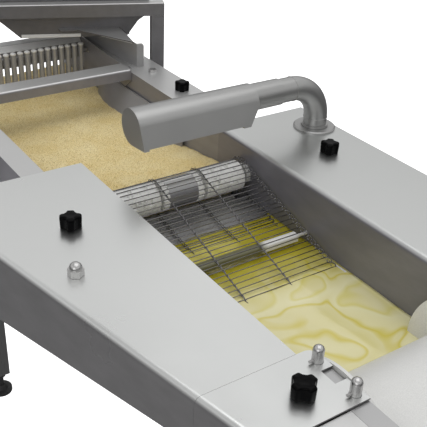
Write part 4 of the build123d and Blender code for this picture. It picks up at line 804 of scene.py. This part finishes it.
def add_crumbs():
    """The bed of crumbs and the loose grains on it."""
    bed = heap("crumb_carpet", steps(*CRUMB_ENDS, 220), steps(*CRUMB_SIDES, 110), crumb_level,
               lambda x, y: CRUMB_BOTTOM, CRUMBS)
    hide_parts("crumb_bed")
    tree, start, end, marks = new_tree("loose_crumbs", [
        ("Per square metre", "NodeSocketFloat"), ("Grain size", "NodeSocketFloat"),
        ("Seed", "NodeSocketInt")])
    nodes, link = tree.nodes, tree.links.new
    scatter = nodes.new("GeometryNodeDistributePointsOnFaces")
    link(start.outputs["Geometry"], scatter.inputs["Mesh"])
    link(start.outputs["Per square metre"], scatter.inputs["Density"])
    link(start.outputs["Seed"], scatter.inputs["Seed"])
    grain = nodes.new("GeometryNodeMeshIcoSphere")
    grain.inputs["Subdivisions"].default_value = 1
    link(start.outputs["Grain size"], grain.inputs["Radius"])
    size = nodes.new("FunctionNodeRandomValue")
    size.data_type = "FLOAT_VECTOR"
    size.inputs[0].default_value = (0.35, 0.35, 0.2)
    size.inputs[1].default_value = (1.25, 1.1, 0.8)
    link(start.outputs["Seed"], size.inputs["Seed"])
    spin = nodes.new("FunctionNodeRandomValue")
    spin.data_type = "FLOAT_VECTOR"
    spin.inputs[0].default_value = (0, 0, 0)
    spin.inputs[1].default_value = (6.28, 6.28, 6.28)
    link(start.outputs["Seed"], spin.inputs["Seed"])
    copies = nodes.new("GeometryNodeInstanceOnPoints")
    link(scatter.outputs["Points"], copies.inputs["Points"])
    link(grain.outputs[0], copies.inputs["Instance"])
    link(size.outputs[0], copies.inputs["Scale"])
    link(spin.outputs[0], copies.inputs["Rotation"])
    end_tree(tree, copies.outputs[0], end, CRUMBS, smooth=False)
    surface = bpy.data.meshes.new("crumb_surface")
    long_cells, wide_cells = GRAIN_CELLS
    xs, ys = steps(*GRAIN_ENDS, long_cells), steps(*GRAIN_SIDES, wide_cells)
    points = [put(x, y, crumb_level(x, y)) for x in xs for y in ys]
    row = wide_cells + 1
    faces = [(i * row + j, (i + 1) * row + j, (i + 1) * row + j + 1, i * row + j + 1)
             for i in range(long_cells) for j in range(wide_cells)]
    surface.from_pydata(points, [], faces)
    values = {"Per square metre": 38000.0, "Grain size": 0.0011, "Seed": 3}
    grow("loose_crumbs", tree, marks, values, surface, [], CRUMBS, "base")


# Small parts on the press unit and the air tube


def dome_row_tree(look):
    """Low domes in a row across the machine."""
    tree, start, end, marks = new_tree("dome_row", [
        ("Domes", "NodeSocketInt"), ("Pitch", "NodeSocketFloat"), ("Radius", "NodeSocketFloat"),
        ("First", "NodeSocketVector")])
    nodes, link = tree.nodes, tree.links.new
    row = nodes.new("GeometryNodeMeshLine")
    row.mode = "OFFSET"
    step = nodes.new("ShaderNodeCombineXYZ")
    link(start.outputs["Domes"], row.inputs["Count"])
    link(start.outputs["First"], row.inputs["Start Location"])
    link(start.outputs["Pitch"], step.inputs["Y"])
    link(step.outputs[0], row.inputs["Offset"])
    dome = nodes.new("GeometryNodeMeshUVSphere")
    dome.inputs["Segments"].default_value = 16
    dome.inputs["Rings"].default_value = 8
    link(start.outputs["Radius"], dome.inputs["Radius"])
    copies = nodes.new("GeometryNodeInstanceOnPoints")
    copies.inputs["Scale"].default_value = (1, 1, 0.62)
    link(row.outputs[0], copies.inputs["Points"])
    link(dome.outputs[0], copies.inputs["Instance"])
    end_tree(tree, copies.outputs[0], end, look)
    return tree, marks


COMB_X = -480.0
COMB_TOP = 3.0
COMB_LAST_Y = 105.5
COMB_PITCH = 14.3
COMB_RODS = 20
COMB_ROD_R = 5.6


def add_comb_caps():
    """White caps pushed on the comb's rods."""
    first = put(COMB_X, COMB_LAST_Y - COMB_PITCH * (COMB_RODS - 1), COMB_TOP - 0.6)
    tree, marks = dome_row_tree(WHITE_PLASTIC)
    values = {"Domes": COMB_RODS, "Pitch": COMB_PITCH / 1000, "Radius": (COMB_ROD_R + 0.35) / 1000,
              "First": first}
    grow("comb_caps", tree, marks, values, seed_mesh("comb_seed"), [], WHITE_PLASTIC, "comb_body")


def weld_bead_tree(look):
    """A rippled ring of weld round a tube."""
    tree, start, end, marks = new_tree("weld_bead", [
        ("Tube radius", "NodeSocketFloat"), ("Bead radius", "NodeSocketFloat"), ("Around", "NodeSocketInt")])
    nodes, link = tree.nodes, tree.links.new
    ring = nodes.new("GeometryNodeCurvePrimitiveCircle")
    bead = nodes.new("GeometryNodeCurvePrimitiveCircle")
    bead.inputs["Resolution"].default_value = 8
    sweep = nodes.new("GeometryNodeCurveToMesh")
    link(start.outputs["Around"], ring.inputs["Resolution"])
    link(start.outputs["Tube radius"], ring.inputs["Radius"])
    link(start.outputs["Bead radius"], bead.inputs["Radius"])
    link(ring.outputs["Curve"], sweep.inputs["Curve"])
    link(bead.outputs["Curve"], sweep.inputs["Profile Curve"])
    end_tree(tree, sweep.outputs[0], end, look)
    return tree, marks


PIPE_X = 64.0
PIPE_Y = 262.2
PIPE_R = 19.0
PIPE_AXIS_Z = 76.0
ELBOW_R = 57.0


def add_tube_welds():
    """Beads where the bend meets the straight tube and its riser."""
    tree, marks = weld_bead_tree(AIR_STEEL)
    across = Matrix.Rotation(math.radians(90), 4, "X")
    spots = (("bend_weld", (PIPE_X, PIPE_Y - ELBOW_R, PIPE_AXIS_Z), across),
             ("riser_weld", (PIPE_X, PIPE_Y, PIPE_AXIS_Z - ELBOW_R), Matrix.Identity(4)))
    for name, spot, turn in spots:
        bead = grow(name, tree, marks, {"Tube radius": PIPE_R / 1000, "Bead radius": 0.0007, "Around": 64},
                    seed_mesh(name + "_seed"), [], AIR_STEEL, "air_knife_body")
        bead.data.transform(Matrix.Translation(put(*spot)) @ turn)


def rolled_edge_tree(look):
    """A slim rolled bead that follows the edge of a sheet."""
    tree, start, end, marks = new_tree("rolled_edge", [
        ("Edge", "NodeSocketObject"), ("Bead radius", "NodeSocketFloat")])
    nodes, link = tree.nodes, tree.links.new
    edge = nodes.new("GeometryNodeObjectInfo")
    bead = nodes.new("GeometryNodeCurvePrimitiveCircle")
    bead.inputs["Resolution"].default_value = 8
    sweep = nodes.new("GeometryNodeCurveToMesh")
    sweep.inputs["Fill Caps"].default_value = True
    link(start.outputs["Edge"], edge.inputs["Object"])
    link(start.outputs["Bead radius"], bead.inputs["Radius"])
    link(edge.outputs["Geometry"], sweep.inputs["Curve"])
    link(bead.outputs["Curve"], sweep.inputs["Profile Curve"])
    end_tree(tree, sweep.outputs[0], end, look)
    return tree, marks


# Each guard as x, distance out from the wall, and height
GUARD_BACK = (-549.0, 8.0, 6.5)
GUARD_STEP_X = -338.0
GUARD_FRONT = (-322.0, 22.0, 42.0)
LUG_OUT = 15.0
LUG_ROUND = 7.0


def add_guard_edges():
    """Rolled edges along the tops of the two guards and over the corners of their lugs."""
    # The beads take the pale painted-bright steel: a painted highlight along the guards' tops.
    tree, marks = rolled_edge_tree(PAINTED_BRIGHT_STEEL)
    for name, side, wall in (("far_guard_edge", 1, HALF_WIDTH), ("near_guard_edge", -1, NEAR_WIDE)):
        def spot(x, z, out=1.0):
            share = (x - GUARD_BACK[0]) / (GUARD_FRONT[0] - GUARD_BACK[0])
            flare = GUARD_BACK[1] + share * (GUARD_FRONT[1] - GUARD_BACK[1])
            return put(x, side * (wall + flare + out), z)
        x, high = GUARD_FRONT[0] - 1.0, GUARD_FRONT[2]
        line = [spot(GUARD_BACK[0] + 1, GUARD_BACK[2]), spot(GUARD_STEP_X, high - 3),
                spot(GUARD_STEP_X + 0.5, high), spot(x, high)]
        for k in range(7):
            a = math.pi / 2 * k / 6
            drop, back = LUG_ROUND * (1 - math.cos(a)), LUG_ROUND * (1 - math.sin(a))
            line.append(spot(x, high - drop, LUG_OUT - back))
        line.append(spot(x, 12.0, LUG_OUT))
        edge = helper_curve(name + "_line", line)
        grow(name, tree, marks, {"Edge": edge, "Bead radius": 0.0012}, seed_mesh(name + "_seed"), [edge],
             PAINTED_BRIGHT_STEEL, "base")


POST_X = -375
POST_Y = 222
ARM_TURN = math.radians(21.6)
SKIRT_FACE = -15.0
SKIRT_ENDS = (148.0, 261.0)
SKIRT_LOW = 29.8


def add_skirt_lip():
    """A lip under the front of the hopper, over the crumbs, in the turned arm's own lines, kept bright by
    painted light in the pale steel.
    """
    def spot(out, along, z):
        return put(POST_X + out * math.cos(ARM_TURN) - along * math.sin(ARM_TURN),
                   POST_Y - along * math.cos(ARM_TURN) - out * math.sin(ARM_TURN), z)
    profile = [(SKIRT_FACE + out, SKIRT_LOW + up)
               for out, up in ((-1.0, 0.0), (1.6, 0.4), (1.9, 1.4), (0.9, 6.6), (-1.0, 7.2))]
    points = [spot(out, along, z) for along in SKIRT_ENDS for out, z in profile]
    count = len(profile)
    faces = [tuple(reversed(range(count))), tuple(range(count, 2 * count))]
    faces += [(k, (k + 1) % count, (k + 1) % count + count, k + count) for k in range(count)]
    piece("hopper_skirt_lip", points, faces, PAINTED_BRIGHT_STEEL, "hopper_body", smooth=False)


def prism(name, profile, y0, y1, look, body, slot):
    """A bar across the machine with a profile of x and z, given anticlockwise as seen from the operator."""
    ends = [[put(x, y, z) for x, z in profile] for y in (y0, y1)]
    count = len(profile)
    faces = [tuple(range(count)), tuple(reversed(range(count, 2 * count)))]
    faces += [(k, k + count, (k + 1) % count + count, (k + 1) % count) for k in range(count)]
    return piece(name, ends[0] + ends[1], faces, look, body, smooth=False)


REAR_FRONT_X = -521.0
REAR_TOP = 7.0
REAR_SIDES = (-176.0, 121.6)


def add_rear_lip():
    """The rear rail's folded front edge, which leans back, in the pale steel that paints it bright in the
    hopper's shade.
    """
    profile = [(REAR_FRONT_X - 0.3, -5.0), (REAR_FRONT_X + 8.5, -5.0), (REAR_FRONT_X + 8.5, -3.8),
               (REAR_FRONT_X - 0.3, REAR_TOP - 0.1)]
    prism("rear_rail_lip", profile, *REAR_SIDES, PAINTED_BRIGHT_STEEL, "base", "trough_steel")


SIDE_INNER_Y = 122.6
PAN_SCREWS = ((-480.0, -15.5), (-352.0, -14.0))


def add_pan_screws():
    """Two pan-headed screws on the inside of the press unit's far side."""
    levels = ((0.0, 1.0), (0.45, 0.96), (0.75, 0.75), (0.95, 0.35))
    around = 16
    radius, high = 3.0, 1.9
    points = []
    faces = []
    for x, z in PAN_SCREWS:
        base = len(points)
        for share, size in levels:
            for k in range(around):
                a = 2 * math.pi * k / around
                points.append(put(x + radius * size * math.cos(a), SIDE_INNER_Y - high * share,
                                  z + radius * size * math.sin(a)))
        points.append(put(x, SIDE_INNER_Y - high, z))
        for i in range(len(levels) - 1):
            for k in range(around):
                n = (k + 1) % around
                faces.append((base + i * around + n, base + (i + 1) * around + n, base + (i + 1) * around + k,
                              base + i * around + k))
        last = base + (len(levels) - 1) * around
        faces += [(last + k, last + (k + 1) % around, base + len(levels) * around) for k in range(around)]
        faces.append(tuple(base + k for k in reversed(range(around))))
    piece("pan_screws", points, faces, FASTENER_STEEL, "base")


# Knobs


KNOB_LOBES = 4
KNOB_R = 14.5
KNOB_HIGH = 17.0
SMALL_KNOB_R = 13.2
SMALL_KNOB_HIGH = 16.5
KNOB_SEAT = 0.3
FLANGE_SEAT = -3.7
STUD_R = 3
STUD_LONG = 10
# A knob's outline from its foot to the middle of its top, as shares of its height and radius
KNOB_LEVELS = ((0.0, 0.90), (0.03, 0.95), (0.10, 0.97), (0.55, 0.985), (0.80, 1.0), (0.90, 0.985),
               (0.96, 0.93), (1.0, 0.83), (1.03, 0.60), (1.0, 0.34), (0.99, 0.0))


def lobed_knob(name, spot, base, radius, high, turn, body, replaced):
    """A moulded knob with four square-ended lobes, a hollow between each pair and a dished top."""
    levels = KNOB_LEVELS
    around = 80
    points = []
    for share, size in levels[:-1]:
        for k in range(around):
            a = 2 * math.pi * k / around
            wave = math.cos(KNOB_LOBES * a)
            lobe = 1 - 0.27 * (0.5 - 0.5 * math.tanh(2.2 * (wave + 0.12)) / math.tanh(2.2))
            flat = 1 - 0.035 * max(0.0, wave) ** 3
            fade = min(1.0, size / 0.8)
            r = radius * size * (1 - (1 - lobe * flat) * fade)
            points.append(put(spot[0] + r * math.cos(a + turn), spot[1] + r * math.sin(a + turn),
                              base + high * share))
    rings = len(levels) - 1
    top = len(points)
    points.append(put(spot[0], spot[1], base + high * levels[-1][0]))
    faces = []
    for i in range(rings - 1):
        for k in range(around):
            n = (k + 1) % around
            faces.append((i * around + k, i * around + n, (i + 1) * around + n, (i + 1) * around + k))
    last = (rings - 1) * around
    faces += [(last + k, last + (k + 1) % around, top) for k in range(around)]
    faces.append(tuple(reversed(range(around))))
    stud = len(points)
    sides = 12
    for z in (base, base - STUD_LONG):
        for k in range(sides):
            a = 2 * math.pi * k / sides
            points.append(put(spot[0] + STUD_R * math.cos(a), spot[1] + STUD_R * math.sin(a), z))
    faces += [(stud + sides + k, stud + sides + (k + 1) % sides, stud + (k + 1) % sides, stud + k)
              for k in range(sides)]
    faces.append(tuple(reversed(range(stud + sides, stud + 2 * sides))))
    faces.append(tuple(range(stud, stud + sides)))
    knob = piece(name, points, faces, KNOB_BLACK, body)
    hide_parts(replaced)
    return knob


def add_knobs():
    """Three knobs of one size on the covers and a smaller one on the crumb flange."""
    for label, spot, turn in (("near", (156.2, -214.1), 1.13), ("end", (545.1, -156.9), 0.06),
                              ("far", (149.9, 219.9), 0.81)):
        lobed_knob(label + "_lobed_knob", spot, KNOB_SEAT, KNOB_R, KNOB_HIGH, turn, label + "_knob_body",
                   label + "_cover_knob")
    lobed_knob("flange_lobed_knob", (-183.2, 161.9), FLANGE_SEAT, SMALL_KNOB_R, SMALL_KNOB_HIGH, 1.0,
               "flange_knob_body", "flange_knob")


add_camera()
add_world()
add_stage()
dress_nodes()
add_wire_belt()
add_batter()
add_crumbs()
add_knobs()
add_comb_caps()
add_tube_welds()
add_rear_lip()
add_pan_screws()
add_guard_edges()
add_skirt_lip()
